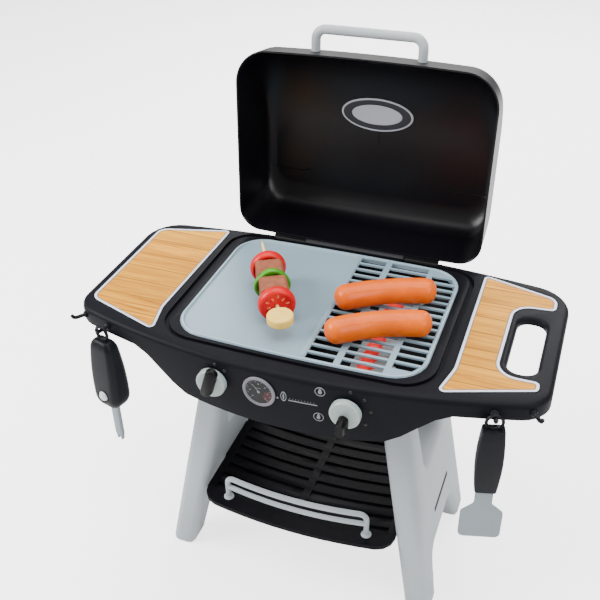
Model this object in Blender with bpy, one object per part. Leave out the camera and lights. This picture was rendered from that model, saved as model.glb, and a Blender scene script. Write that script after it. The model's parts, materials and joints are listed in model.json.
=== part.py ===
"""Toy barbecue grill: a table-top deck on two splayed side frames, with a hinged lid,
a lift-out cooking grate, two turning knobs, play food and two hanging tools.

Metres, +Z up, front towards -Y. Every piece hangs from an empty in the middle of the
deck's top face, so each place below is measured from the middle of the cooking grate.
"""
from math import atan2, cos, pi, radians, sin, sqrt, tan

import bmesh
import bpy
from mathutils import Matrix, Vector

# Whole object
deck_width = 0.720
deck_height = 0.480
grate_centre_y = -0.0378
clearance = 0.0003
overrun = 0.010
least_radius = 0.0012

# Deck moulding
deck_front = 0.1317
deck_back = 0.1435
deck_bow_front = 0.0583
deck_bow_back = 0.0285
deck_corner_front = 0.032
deck_corner_back = 0.050
deck_edge_radius = 0.008
deck_thickness = 0.012
skirt_wall = 0.0035
skirt_depth = 0.026
apron_depth = 0.088
apron_sag = 0.009
apron_flat_half = 0.140
apron_end_half = 0.245

# Cooking grate and its seat
grate_half_width = 0.191
grate_half_depth = 0.143
grate_bow_front = 0.006
grate_bow_back = 0.004
grate_corner = 0.048
grate_thickness = 0.0062
grate_rim_width = 0.0060
grate_rise = 0.0012
griddle_drop = 0.0004
griddle_edge_x = 0.0128
grate_flange = 0.0090
seat_ledge = 0.007

# Lid seat and lid
lid_seat_half_width = 0.2092
lid_seat_front = 0.1545
lid_seat_back = 0.1505
lid_seat_bow_front = 0.005
lid_seat_bow_back = 0.003
lid_corner_front = 0.052
lid_corner_back = 0.036
lid_groove_outer = 0.003
lid_groove_inner = 0.0042
lid_groove_depth = 0.005
lid_rim_depth = 0.003
lid_wall = 0.0025
lid_height = 0.118
lid_open_angle = radians(94.2)
hinge_y = 0.162
hinge_z = -0.004
hinge_x = 0.115

# Stand
frame_top_x = 0.1475
frame_splay = 0.188
frame_thickness = 0.044
bowl_depth = 0.046
bowl_wall = 0.0025
shelf_drop = 0.340
shelf_thickness = 0.008

# Controls
knob_x = 0.1004
knob_z = -0.0385
knob_radius = 0.0225
spindle_radius = 0.004
spindle_bore_length = 0.030


def clear_scene():
    for item in list(bpy.data.objects):
        bpy.data.objects.remove(item, do_unlink=True)


def finish_of(name, colour, roughness, metallic=0.0):
    made = bpy.data.materials.get(name)
    if made is None:
        made = bpy.data.materials.new(name)
        made.use_nodes = True
        shader = made.node_tree.nodes["Principled BSDF"]
        shader.inputs["Base Color"].default_value = (*colour, 1.0)
        shader.inputs["Roughness"].default_value = roughness
        shader.inputs["Metallic"].default_value = metallic
    return made


def black_plastic():
    return finish_of("black_plastic", (0.030, 0.030, 0.034), 0.45)


def gloss_black():
    return finish_of("gloss_black", (0.006, 0.006, 0.009), 0.22)


def grey_plastic():
    return finish_of("grey_plastic", (0.42, 0.46, 0.47), 0.45)


def silver_plastic():
    return finish_of("silver_plastic", (0.62, 0.65, 0.68), 0.30, 0.2)


def grate_plastic():
    return finish_of("grate_plastic", (0.33, 0.42, 0.46), 0.40)


def wood_laminate():
    return finish_of("wood_laminate", (0.69, 0.42, 0.19), 0.50)


def screw_steel():
    return finish_of("screw_steel", (0.55, 0.55, 0.56), 0.35, 1.0)


def add_object(name, mesh, finish, parent, smooth_angle=radians(35)):
    made = bpy.data.objects.new(name, mesh)
    bpy.context.scene.collection.objects.link(made)
    mesh.materials.append(finish)
    mesh.shade_smooth()
    mesh.set_sharp_from_angle(angle=smooth_angle)
    made.parent = parent
    return made


def add_empty(name, parent, place=(0, 0, 0), turn=(0, 0, 0)):
    made = bpy.data.objects.new(name, None)
    bpy.context.scene.collection.objects.link(made)
    made.location = place
    made.rotation_euler = turn
    made.parent = parent
    return made


def loft(name, rings, finish, parent, closed=False):
    """Join rings of equal point counts; the two end rings are filled unless the loft closes on itself."""
    mesh = bpy.data.meshes.new(name)
    build = bmesh.new()
    rows = [[build.verts.new(point) for point in ring] for ring in rings]
    count = len(rows[0])
    pairs = list(zip(rows, rows[1:]))
    if closed:
        pairs.append((rows[-1], rows[0]))
    for low, high in pairs:
        for i in range(count):
            j = (i + 1) % count
            build.faces.new((low[i], low[j], high[j], high[i]))
    if not closed:
        build.faces.new(list(reversed(rows[0])))
        build.faces.new(rows[-1])
    bmesh.ops.recalc_face_normals(build, faces=build.faces)
    build.to_mesh(mesh)
    build.free()
    return add_object(name, mesh, finish, parent)


def at_height(outline, z):
    return [(x, y, z) for x, y in outline]


def between(low, high, share):
    return low + (high - low) * share


def prism(name, outline, low, high, finish, parent):
    return loft(name, [at_height(outline, low), at_height(outline, high)], finish, parent)


def circle(radius, sides, centre=(0, 0)):
    return [
        (centre[0] + radius * cos(2 * pi * i / sides), centre[1] + radius * sin(2 * pi * i / sides))
        for i in range(sides)
    ]


def turned(name, profile, sides, finish, parent, closed=False):
    """Revolve (radius, height) pairs about Z."""
    rings = [at_height(circle(radius, sides), height) for radius, height in profile]
    return loft(name, rings, finish, parent, closed)


def swept(name, path, radii, sides, finish, parent):
    """Carry a round section of changing radius along a path of points."""
    points = [Vector(point) for point in path]
    last = len(points) - 1
    side = None
    rings = []
    for i, point in enumerate(points):
        ahead = (points[min(i + 1, last)] - points[max(i - 1, 0)]).normalized()
        if side is None:
            side = ahead.orthogonal().normalized()
        side = (side - ahead * side.dot(ahead)).normalized()
        across = ahead.cross(side)
        rings.append([tuple(point + side * u + across * v) for u, v in circle(radii[i], sides)])
    return loft(name, rings, finish, parent)


def modify_with(target, tool, operation, solver="EXACT"):
    step = target.modifiers.new(tool.name, "BOOLEAN")
    step.operation = operation
    step.solver = solver
    step.object = tool
    tool.hide_render = True
    tool.display_type = "WIRE"


def cut(target, tool, solver="EXACT"):
    modify_with(target, tool, "DIFFERENCE", solver)


def join(target, tool):
    modify_with(target, tool, "UNION")


def tray_outline(half_width, front, back, radius_front, radius_back, bow_front, bow_back,
                 inset=0, arc_steps=6, front_steps=8, back_steps=8):
    """A rounded rectangle, counter-clockwise, whose front and back edges bow outwards."""
    half = half_width - inset
    low = -(front - inset)
    high = back - inset
    near = max(radius_front - inset, least_radius)
    far = max(radius_back - inset, least_radius)
    corners = [
        (half - near, low + near, near, -pi / 2),
        (half - far, high - far, far, 0),
        (-half + far, high - far, far, pi / 2),
        (-half + near, low + near, near, pi),
    ]
    points = []
    for number, (x, y, radius, start) in enumerate(corners):
        for i in range(arc_steps + 1):
            angle = start + pi / 2 * i / arc_steps
            points.append((x + radius * cos(angle), y + radius * sin(angle)))
        steps = {1: back_steps, 3: front_steps}.get(number, 0)
        if steps:
            edge = high if number == 1 else low
            reach = half - (far if number == 1 else near)
            turn = 1 if number == 1 else -1
            for i in range(1, steps):
                points.append((turn * reach * (1 - 2 * i / steps), edge))
    bowed = []
    for x, y in points:
        bow = 1 - (x / half_width) ** 2
        if y < 0:
            y += -bow_front * bow * y / low
        else:
            y += bow_back * bow * y / high
        bowed.append((x, y))
    return bowed


def filleted(corners, steps=5):
    """Round each (x, y, radius) corner of a polygon with an arc that touches both sides."""
    points = []
    count = len(corners)
    for i, (x, y, radius) in enumerate(corners):
        here = Vector((x, y))
        back = (Vector(corners[i - 1][:2]) - here).normalized()
        ahead = (Vector(corners[(i + 1) % count][:2]) - here).normalized()
        half = back.angle(ahead) / 2
        middle = (back + ahead).normalized()
        centre = here + middle * radius / sin(half)
        start = here + back * radius / tan(half) - centre
        sweep = (pi - 2 * half) * (1 if back.cross(ahead) < 0 else -1)
        for k in range(steps + 1):
            angle = sweep * k / steps
            turned_start = Matrix.Rotation(angle, 2) @ start
            points.append(tuple(centre + turned_start))
    return points


def inset_corners(corners, distance):
    """Move the sides of a counter-clockwise polygon of (x, y, radius) corners inwards."""
    moved = []
    count = len(corners)
    for i, (x, y, radius) in enumerate(corners):
        here = Vector((x, y))
        along_in = (here - Vector(corners[i - 1][:2])).normalized()
        along_out = (Vector(corners[(i + 1) % count][:2]) - here).normalized()
        normal_in = Vector((-along_in.y, along_in.x))
        normal_out = Vector((-along_out.y, along_out.x))
        shift = (normal_in + normal_out) * distance / (1 + normal_in.dot(normal_out))
        convex = along_in.cross(along_out) > 0
        new_radius = max(radius - distance if convex else radius + distance, least_radius)
        moved.append((x + shift.x, y + shift.y, new_radius))
    return moved


def mirrored(corners):
    return [(-x, y, radius) for x, y, radius in reversed(corners)]


# Deck

deck_front_steps = 30
deck_back_steps = 14
inlay_depth = 0.003
handle_hole_left = 0.292
handle_hole_right = 0.334
handle_hole_front = -0.076
handle_hole_back = 0.057
handle_hole_radius = 0.018
handle_lip = 0.006
pocket_half_length = 0.030
pocket_half_depth = 0.0068
pocket_drop = 0.0095
pin_radius = 0.002
pin_reach = 0.005


def deck_outline(inset=0):
    return tray_outline(deck_width / 2, deck_front, deck_back, deck_corner_front, deck_corner_back,
                        deck_bow_front, deck_bow_back, inset,
                        front_steps=deck_front_steps, back_steps=deck_back_steps)


def deck_front_at(x):
    """Depth of the apron's outer face at x."""
    return -(deck_front + deck_bow_front * (1 - (2 * x / deck_width) ** 2))


def skirt_bottom(x, y):
    """The skirt is shallow at the ends and the back, and swells to an apron behind the controls."""
    if y > 0:
        return -skirt_depth
    share = (apron_end_half - abs(x)) / (apron_end_half - apron_flat_half)
    share = min(max(share, 0), 1)
    swell = share * share * (3 - 2 * share)
    sag = apron_sag * max(1 - (x / apron_flat_half) ** 2, 0)
    return -(skirt_depth + (apron_depth - skirt_depth) * swell + sag)


def grate_outline(inset=0):
    return tray_outline(grate_half_width, grate_half_depth, grate_half_depth, grate_corner, grate_corner,
                        grate_bow_front, grate_bow_back, inset)


def lid_seat_outline(inset=0):
    return tray_outline(lid_seat_half_width, lid_seat_front, lid_seat_back, lid_corner_front, lid_corner_back,
                        lid_seat_bow_front, lid_seat_bow_back, inset)


def handle_hole_corners():
    return [
        (handle_hole_left, handle_hole_front, handle_hole_radius),
        (handle_hole_right, handle_hole_front, handle_hole_radius),
        (handle_hole_right, handle_hole_back, handle_hole_radius),
        (handle_hole_left, handle_hole_back, handle_hole_radius),
    ]


def handle_hole_cutter(parent):
    """A through hole whose upper lip is rounded, so that a hand can carry the grill by it."""
    rings = []
    steps = 4
    for k in range(steps + 1):
        angle = pi / 2 * k / steps
        opening = handle_lip * (1 - sin(angle))
        drop = handle_lip * (1 - cos(angle))
        outline = filleted(inset_corners(handle_hole_corners(), -opening))
        rings.append(at_height(outline, -drop))
    widest = filleted(inset_corners(handle_hole_corners(), -handle_lip))
    narrowest = filleted(handle_hole_corners())
    rings.insert(0, at_height(widest, overrun))
    rings.append(at_height(narrowest, -deck_thickness - overrun))
    return loft("handle_hole_cut", rings, black_plastic(), parent)


def knob_hole_cutter(side, parent):
    radius = spindle_radius + clearance
    hole = turned("knob_hole_cut", [(radius, 0), (radius, spindle_bore_length)], 20, black_plastic(), parent)
    hole.location = (side * knob_x, deck_front_at(knob_x) - overrun, knob_z)
    hole.rotation_euler = (-pi / 2, 0, 0)
    return hole


def along_x(outline, low, high):
    """Rings that carry a (y, z) outline from x = low to x = high."""
    return [[(low, y, z) for y, z in outline], [(high, y, z) for y, z in outline]]


def hinge_pocket_cutter(side, parent):
    low = side * hinge_x - pocket_half_length
    high = side * hinge_x + pocket_half_length
    outline = [
        (hinge_y - pocket_half_depth - pin_radius, hinge_z - pocket_drop + pin_radius * 2),
        (hinge_y + pocket_half_depth, hinge_z - pocket_drop + pin_radius * 2),
        (hinge_y + pocket_half_depth, overrun),
        (hinge_y - pocket_half_depth - pin_radius, overrun),
    ]
    return loft("hinge_pocket_cut", along_x(outline, low, high), black_plastic(), parent)


def pin_hole_cutter(side, parent):
    low = side * hinge_x - pocket_half_length - pin_reach - clearance
    high = side * hinge_x + pocket_half_length + pin_reach + clearance
    outline = circle(pin_radius + clearance, 16, (hinge_y, hinge_z))
    return loft("pin_hole_cut", along_x(outline, low, high), black_plastic(), parent)


def make_deck(parent):
    outer_bottom = [(x, y, skirt_bottom(x, y)) for x, y in deck_outline()]
    inner_bottom = [(x, y, skirt_bottom(x, y)) for x, y in deck_outline(skirt_wall)]
    rings = [at_height(deck_outline(skirt_wall), -deck_thickness), inner_bottom, outer_bottom]
    steps = 4
    for k in range(steps + 1):
        angle = pi / 2 * k / steps
        inset = deck_edge_radius * (1 - cos(angle))
        rings.append(at_height(deck_outline(inset), -deck_edge_radius * (1 - sin(angle))))
    deck = loft("deck_tray", rings, black_plastic(), parent)
    recess = prism("grate_recess_cut", grate_outline(-clearance), -grate_thickness - clearance, overrun,
                   black_plastic(), parent)
    opening = prism("grate_opening_cut", grate_outline(seat_ledge), -deck_thickness - overrun, overrun,
                    black_plastic(), parent)
    groove = loft("lid_groove_cut", [
        at_height(lid_seat_outline(-lid_groove_outer), -lid_groove_depth),
        at_height(lid_seat_outline(-lid_groove_outer), overrun),
        at_height(lid_seat_outline(lid_groove_inner), overrun),
        at_height(lid_seat_outline(lid_groove_inner), -lid_groove_depth),
    ], black_plastic(), parent, closed=True)
    cut(deck, recess)
    cut(deck, opening)
    cut(deck, groove)
    cut(deck, handle_hole_cutter(parent))
    for side_name, corners in (("left", left_inlay_corners()), ("right", right_inlay_corners())):
        pocket = prism(side_name + "_inlay_cut", filleted(inset_corners(corners, -clearance)), -inlay_depth,
                       overrun, black_plastic(), parent)
        # The exact solver leaves a hole in the left pocket's wall.
        cut(deck, pocket, "MANIFOLD")
    for side in (-1, 1):
        cut(deck, knob_hole_cutter(side, parent))
        cut(deck, hinge_pocket_cutter(side, parent))
        cut(deck, pin_hole_cutter(side, parent))
    return deck


# Wood inlays and their silver trims

inlay_outer_x = 0.3475
inlay_inner_x = 0.2215
inlay_knee_x = 0.2240
inlay_knee_y = -0.095
inlay_toe_x = 0.2100
inlay_toe_y = -0.1560
inlay_front_outer_y = -0.1085
inlay_back_outer_y = 0.121
inlay_back_inner_y = 0.1545
inlay_corner = 0.022
inlay_small_corner = 0.009
inlay_knee_radius = 0.060
inlay_trim_width = 0.0085
horn_front_x = 0.3425
horn_front_tip_y = -0.0865
horn_front_y = -0.1090
horn_back_y = 0.0855
horn_throat_x = 0.2835
horn_throat_front_y = -0.0870
horn_throat_back_y = 0.0790
horn_tip_radius = 0.010
horn_throat_radius = 0.026


def right_inlay_corners():
    """Counter-clockwise from the front inner corner; two horns reach round the handle hole."""
    return [
        (inlay_toe_x, inlay_toe_y, inlay_small_corner),
        (horn_front_x, horn_front_y, inlay_small_corner + clearance),
        (horn_front_x, horn_front_tip_y, horn_tip_radius),
        (horn_throat_x, horn_throat_front_y, horn_throat_radius),
        (horn_throat_x, horn_throat_back_y, horn_throat_radius),
        (horn_front_x, horn_back_y, horn_tip_radius),
        (horn_front_x, inlay_back_outer_y, inlay_corner),
        (inlay_inner_x, inlay_back_inner_y, inlay_small_corner),
        (inlay_knee_x, inlay_knee_y, inlay_knee_radius),
    ]


def left_inlay_corners():
    return mirrored([
        (inlay_toe_x, inlay_toe_y, inlay_small_corner),
        (inlay_outer_x, inlay_front_outer_y, inlay_corner),
        (inlay_outer_x, inlay_back_outer_y, inlay_corner),
        (inlay_inner_x, inlay_back_inner_y, inlay_small_corner),
        (inlay_knee_x, inlay_knee_y, inlay_knee_radius),
    ])


def make_inlay(side_name, corners, parent):
    low = -inlay_depth + clearance
    outer = filleted(corners)
    inner = filleted(inset_corners(corners, inlay_trim_width))
    loft(side_name + "_panel_trim", [
        at_height(outer, low), at_height(outer, clearance),
        at_height(inner, clearance), at_height(inner, low),
    ], silver_plastic(), parent, closed=True)
    wood = filleted(inset_corners(corners, inlay_trim_width + clearance))
    prism(side_name + "_wood_panel", wood, low, 0, wood_laminate(), parent)


# Fire bowl with its glowing coals

bowl_flange = 0.010
bowl_flange_thickness = 0.0025
bowl_floor_inset = 0.012
bowl_wall_lean = 0.003
coal_x = 0.0960
coal_half_width = 0.014
coal_half_length = 0.112
coal_height = 0.008
coal_lumps = 11
coal_ring_share = 0.62
coal_lean_share = 0.18
coal_tray_left = 0.074
coal_tray_right = 0.127
coal_tray_half_length = 0.122
coal_tray_thickness = 0.003


def make_fire_bowl(parent):
    top = -deck_thickness - clearance
    floor = -bowl_depth + bowl_wall
    rings = [
        at_height(grate_outline(seat_ledge + bowl_floor_inset), -bowl_depth),
        at_height(grate_outline(seat_ledge - bowl_wall + bowl_wall_lean), -bowl_depth + bowl_floor_inset),
        at_height(grate_outline(seat_ledge - bowl_wall), top - bowl_flange_thickness),
        at_height(grate_outline(seat_ledge - bowl_flange), top - bowl_flange_thickness),
        at_height(grate_outline(seat_ledge - bowl_flange), top),
        at_height(grate_outline(seat_ledge), top),
        at_height(grate_outline(seat_ledge + bowl_wall_lean), floor + bowl_floor_inset),
        at_height(grate_outline(seat_ledge + bowl_floor_inset), floor),
    ]
    loft("fire_bowl", rings, black_plastic(), parent)


def make_coals(parent):
    floor = -bowl_depth + bowl_wall + clearance
    tray = filleted([
        (coal_tray_left, -coal_tray_half_length, inlay_small_corner),
        (coal_tray_right, -coal_tray_half_length, inlay_small_corner),
        (coal_tray_right, coal_tray_half_length, inlay_small_corner),
        (coal_tray_left, coal_tray_half_length, inlay_small_corner),
    ])
    prism("coal_tray", tray, floor, floor + coal_tray_thickness, grey_plastic(), parent)
    base = floor + coal_tray_thickness + clearance
    across = 6
    rings = []
    steps = coal_lumps * 3
    for i in range(steps + 1):
        y = between(-coal_half_length, coal_half_length, i / steps)
        swell = coal_ring_share + (1 - coal_ring_share) * abs(sin(pi * coal_lumps * i / steps))
        ring = []
        for k in range(across + 1):
            angle = pi * k / across
            lean = 1 + coal_lean_share * sin(3 * angle + i)
            ring.append((coal_x + coal_half_width * swell * cos(angle),
                         y, base + coal_height * swell * lean * sin(angle)))
        rings.append(ring)
    loft("glowing_coals", rings, finish_of("coal_red", (0.75, 0.03, 0.04), 0.35), parent)


# Cooking grate

slot_rows = 16
slot_row_first = -0.1371
slot_row_last = 0.1291
slot_front_reach = 0.0047
slot_back_reach = 0.0084
slot_rim_gap = 0.0004
grille_bar_height = 0.0032
grille_left = 0.0225
grille_first_bar = 0.0647
grille_second_column = 0.0742
grille_second_bar = 0.1355
grille_third_column = 0.1443


def grate_inner_limit(y):
    """Half-width of the opening inside the grate's rim at depth y."""
    inset = grate_rim_width + slot_rim_gap
    half = grate_half_width - inset
    depth = grate_half_depth - inset
    radius = grate_corner - inset
    past = abs(y) - (depth - radius)
    if past <= 0:
        return half
    past = min(past, radius)
    return half - radius + sqrt(radius * radius - past * past)


def grate_front_limit(x):
    inset = grate_rim_width + slot_rim_gap
    return -(grate_half_depth - inset + grate_bow_front * (1 - (x / grate_half_width) ** 2))


def griddle_outline(inset):
    """The grate's outline left of the griddle's straight right-hand edge, counter-clockwise from the back."""
    edge = griddle_edge_x - (inset - grate_rim_width)
    kept = [(x, y) for x, y in grate_outline(inset) if x < edge - least_radius]
    return kept + [(edge, kept[-1][1]), (edge, kept[0][1])]


def make_cooking_grate(parent):
    """One moulding: a raised border and grille, a griddle sunk between them, all on a thin plate."""
    low = -grate_thickness
    rings = [
        at_height(grate_outline(clearance), low),
        at_height(grate_outline(clearance), 0),
        at_height(grate_outline(grate_rise), grate_rise),
    ]
    grate = loft("cooking_grate", rings, grate_plastic(), parent)
    griddle = loft("griddle_cut", [
        at_height(griddle_outline(grate_rim_width + griddle_drop + grate_rise), -griddle_drop),
        at_height(griddle_outline(grate_rim_width), grate_rise),
        at_height(griddle_outline(grate_rim_width), overrun),
    ], grate_plastic(), parent)
    pocket_top = grate_rise - grille_bar_height
    pocket = prism("grate_pocket_cut", grate_outline(grate_flange), low - overrun, pocket_top,
                   grate_plastic(), parent)
    cut(grate, griddle)
    cut(grate, pocket)
    columns = [
        (grille_left, grille_first_bar),
        (grille_second_column, grille_second_bar),
        (grille_third_column, None),
    ]
    pitch = (slot_row_last - slot_row_first) / (slot_rows - 1)
    for number, (left, right) in enumerate(columns):
        mesh = bpy.data.meshes.new("slot_cuts")
        build = bmesh.new()
        for row in range(slot_rows):
            y = slot_row_first + pitch * row
            near = y - slot_front_reach
            far = y + slot_back_reach
            right_near = right if right else grate_inner_limit(near)
            right_far = right if right else grate_inner_limit(far)
            if min(right_near, right_far) < left + slot_front_reach:
                continue
            corners = [
                (left, max(near, grate_front_limit(left))),
                (right_near, max(near, grate_front_limit(right_near))),
                (right_far, far),
                (left, far),
            ]
            bottom = [build.verts.new((cx, cy, low - overrun)) for cx, cy in corners]
            top = [build.verts.new((cx, cy, overrun)) for cx, cy in corners]
            build.faces.new(list(reversed(bottom)))
            build.faces.new(top)
            for i in range(4):
                j = (i + 1) % 4
                build.faces.new((bottom[i], bottom[j], top[j], top[i]))
        bmesh.ops.recalc_face_normals(build, faces=build.faces)
        build.to_mesh(mesh)
        build.free()
        cut(grate, add_object(f"slot_cut_{number}", mesh, grate_plastic(), parent))
    return grate


# Lid

lid_side_draft = 0.006
lid_side_radius = 0.018
lid_front_draft = 0.009
lid_front_reach = 0.138
lid_front_rise = 0.079
lid_front_roundness = 2
lid_back_draft = 0.007
lid_back_radius = 0.042
lid_rings = 9
lid_corner_share = 0.48
lid_handle_half = 0.085
lid_handle_reach = 0.034
lid_handle_radius = 0.0075
lid_handle_rise = 0.026
lid_handle_bend = 0.016
bracket_half_length = 0.029
bracket_thickness = 0.003
bracket_height = 0.030
barrel_radius = 0.0045


def wall_inset(height, full_height, draft, radius):
    """How far a lid wall has come in at a height: a straight draft and then a round shoulder."""
    past = max(height - (full_height - radius), 0)
    past = min(past, radius)
    return draft * height / full_height + radius - sqrt(radius * radius - past * past)


def nose_inset(height, full_height):
    """How far the lid's long curved front has come in at a height."""
    past = min(max(height - (full_height - lid_front_rise), 0) / lid_front_rise, 1)
    curve = (1 - past ** lid_front_roundness) ** (1 / lid_front_roundness)
    return lid_front_draft * height / full_height + lid_front_reach * (1 - curve)


def lid_ring(height, full_height, thinner):
    side = wall_inset(height, full_height, lid_side_draft, lid_side_radius - thinner) + thinner
    front = nose_inset(height, full_height) + thinner
    back = wall_inset(height, full_height, lid_back_draft, lid_back_radius - thinner) + thinner
    depth = lid_seat_front - front + lid_seat_back - back
    corner_front = min(lid_corner_front - thinner, depth * lid_corner_share)
    corner_back = min(lid_corner_back - thinner, depth * lid_corner_share)
    return tray_outline(lid_seat_half_width - side, lid_seat_front - front, lid_seat_back - back,
                        corner_front, corner_back, lid_seat_bow_front, lid_seat_bow_back)


def lid_heights(full_height):
    """More rings where the shoulders turn."""
    return [full_height * sin(pi / 2 * k / (lid_rings - 1)) for k in range(lid_rings)]


def to_hinge(outline, z):
    """Closed-lid coordinates, seen from the hinge axis."""
    return [(x, y - hinge_y, z - hinge_z) for x, y in outline]


def make_lid(lid_axis):
    rim = -lid_rim_depth
    outer_height = lid_height - rim
    inner_height = outer_height - lid_wall
    rings = []
    for height in reversed(lid_heights(inner_height)):
        rings.append(to_hinge(lid_ring(height, inner_height, lid_wall / 2), rim + height))
    for height in lid_heights(outer_height):
        rings.append(to_hinge(lid_ring(height, outer_height, -lid_wall / 2), rim + height))
    loft("lid_shell", rings, gloss_black(), lid_axis)


def make_lid_handle(lid_axis):
    height = lid_handle_rise
    wall = lid_seat_front + lid_seat_bow_front + lid_wall / 2
    slope = lid_front_draft * (height + lid_rim_depth) / (lid_height + lid_rim_depth)
    foot_bow = lid_seat_bow_front * (lid_handle_half / lid_seat_half_width) ** 2
    foot = -(wall - slope - foot_bow) - clearance - lid_handle_radius * lid_front_draft / lid_height
    bar = foot - lid_handle_reach
    half_path = []
    steps = 5
    for k in range(steps + 1):
        angle = pi / 2 * k / steps
        half_path.append((-lid_handle_half + lid_handle_bend * (1 - cos(angle)),
                          bar + lid_handle_bend * (1 - sin(angle))))
    path = [(-lid_handle_half, foot)] + half_path
    path = path + [(-x, y) for x, y in reversed(path)]
    points = [(x, y - hinge_y, height - hinge_z) for x, y in path]
    swept("lid_handle", points, [lid_handle_radius] * len(points), 10, silver_plastic(), lid_axis)


def make_lid_bracket(side_name, side, lid_axis):
    """A leaf that lies on the lid's back wall and curls round the hinge pin."""
    bow = lid_seat_bow_back * (1 - (hinge_x / lid_seat_half_width) ** 2)
    wall = lid_seat_back + bow + lid_wall / 2 - hinge_y
    near = wall + clearance * 2
    far = near + bracket_thickness
    outline = [(near, bracket_height), (near, -lid_rim_depth / 2)]
    start = radians(200)
    end = radians(450)
    steps = 12
    for k in range(steps + 1):
        angle = start + (end - start) * k / steps
        outline.append((barrel_radius * cos(angle), barrel_radius * sin(angle)))
    outline.append((far, barrel_radius))
    outline.append((far, bracket_height))
    low = side * hinge_x - bracket_half_length
    high = side * hinge_x + bracket_half_length
    leaf = loft(side_name + "_lid_bracket", along_x(outline, low, high), gloss_black(), lid_axis)
    bore = loft(side_name + "_bracket_bore_cut",
                along_x(circle(pin_radius + clearance, 16), low - overrun, high + overrun),
                gloss_black(), lid_axis)
    cut(leaf, bore)


def make_hinge_pin(side_name, side, parent):
    low = side * hinge_x - pocket_half_length - pin_reach
    high = side * hinge_x + pocket_half_length + pin_reach
    loft(side_name + "_hinge_pin", along_x(circle(pin_radius, 16, (hinge_y, hinge_z)), low, high),
         black_plastic(), parent)


strip_half_length = 0.080
strip_steps = 6
strip_reach = 0.004


def make_hinge_strip(parent):
    """A low ridge, round in front and flat behind, which the open lid's back wall rests on."""
    wall = lid_seat_back + lid_seat_bow_back + lid_wall / 2
    gap_to_axis = hinge_y - wall
    radius = gap_to_axis - clearance
    base = clearance - hinge_z
    start = pi - atan2(base, sqrt(radius * radius - base * base))
    outline = []
    for k in range(strip_steps + 1):
        angle = start + (pi / 2 - start) * k / strip_steps
        outline.append((hinge_y + radius * cos(angle), hinge_z + radius * sin(angle)))
    # The wall's slope once the lid is open: its own draft less the lean of the lid.
    slope = lid_back_draft / (lid_height + lid_rim_depth) - (lid_open_angle - pi / 2)
    outline.append((hinge_y + strip_reach, outline[-1][1] + strip_reach * min(slope, 0)))
    outline.append((hinge_y + strip_reach, clearance))
    loft("hinge_strip", along_x(outline, -strip_half_length, strip_half_length), black_plastic(), parent)


# Stand

frame_edge_radius = 0.013
frame_edge_steps = 3
front_leg_top_front = -0.099
front_leg_top_back = -0.055
front_leg_foot_front = -0.149
front_leg_foot_back = -0.102
notch_floor = -0.244
notch_back_low = 0.062
notch_back_top = 0.082
rear_arm_back = 0.126
waist_back = 0.121
waist_drop = -0.270
rear_foot_front = 0.074
rear_foot_back = 0.119
arch_top = -0.398
arch_front = -0.080
arch_back = 0.048
notch_radius = 0.012
arch_radius = 0.022
waist_radius = 0.088
frame_corner = 0.004
slot_front = -0.046
slot_back = 0.045
tab_clearance = 0.0005


def frame_outer_x(z):
    return frame_top_x - frame_splay * z


def frame_corners():
    """Side view of one moulded frame as (y, z, radius), counter-clockwise from the front foot."""
    top = -bowl_depth - clearance
    floor = -deck_height
    return [
        (front_leg_foot_front, floor, frame_corner),
        (front_leg_foot_back, floor, frame_corner),
        (arch_front, arch_top, arch_radius),
        (arch_back, arch_top, arch_radius),
        (rear_foot_front, floor, frame_corner),
        (rear_foot_back, floor, frame_corner),
        (waist_back, waist_drop, waist_radius),
        (rear_arm_back, top, frame_corner),
        (notch_back_top, top, frame_corner),
        (notch_back_low, notch_floor, arch_radius),
        (front_leg_top_back, notch_floor, notch_radius),
        (front_leg_top_back, top, frame_corner),
        (front_leg_top_front, top, frame_corner),
    ]


def leaning(outline, side, inward):
    """A (y, z) outline set in from the frame's leaning outer face."""
    return [(side * (frame_outer_x(z) - inward), y, z) for y, z in outline]


def splayed(outline, side, inward_from, inward_to):
    return [leaning(outline, side, inward_from), leaning(outline, side, inward_to)]


def frame_rings(side):
    """Outlines through the frame's thickness, each drawn in where the edge is a quarter round."""
    outer = []
    inner = []
    for k in range(frame_edge_steps + 1):
        angle = pi / 2 * k / frame_edge_steps
        drawn_in = frame_edge_radius * (1 - sin(angle))
        inward = frame_edge_radius * (1 - cos(angle))
        outline = filleted(inset_corners(frame_corners(), drawn_in), steps=3)
        outer.append(leaning(outline, side, inward))
        inner.append(leaning(outline, side, frame_thickness - inward))
    return outer + inner[::-1]


def shelf_tab_outline(grow):
    top = -shelf_drop + grow
    bottom = -shelf_drop - shelf_thickness - grow
    front = slot_front - grow
    back = slot_back + grow
    return [(front, bottom), (back, bottom), (back, top), (front, top)]


def make_side_frame(side_name, side, parent):
    frame = loft(side_name + "_side_frame", frame_rings(side), grey_plastic(), parent)
    slot = loft(side_name + "_shelf_slot_cut",
                splayed(shelf_tab_outline(tab_clearance), side, -overrun, frame_thickness + overrun),
                grey_plastic(), parent)
    cut(frame, slot)
    for screw_y in screw_places():
        bottom = -bowl_depth - screw_hole_depth
        cut(frame, screw_hole_cutter(side, screw_y, bottom, screw_hole_depth + overrun, parent))


screw_radius = 0.002
screw_length = 0.014
screw_hole_depth = 0.017
screw_head_radius = 0.0045
screw_head_height = 0.0022
screw_sides = 12


def screw_x():
    return frame_outer_x(-bowl_depth) - frame_thickness / 2


def screw_places():
    front = (front_leg_top_front + front_leg_top_back) / 2 + screw_head_radius
    back = (notch_back_top + rear_arm_back) / 2
    return front, back


def screw_hole_cutter(side, screw_y, bottom, length, parent):
    radius = screw_radius + clearance
    hole = turned("screw_hole_cut", [(radius, 0), (radius, length)], screw_sides, grey_plastic(), parent)
    hole.location = (side * screw_x(), screw_y, bottom)
    return hole


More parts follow.
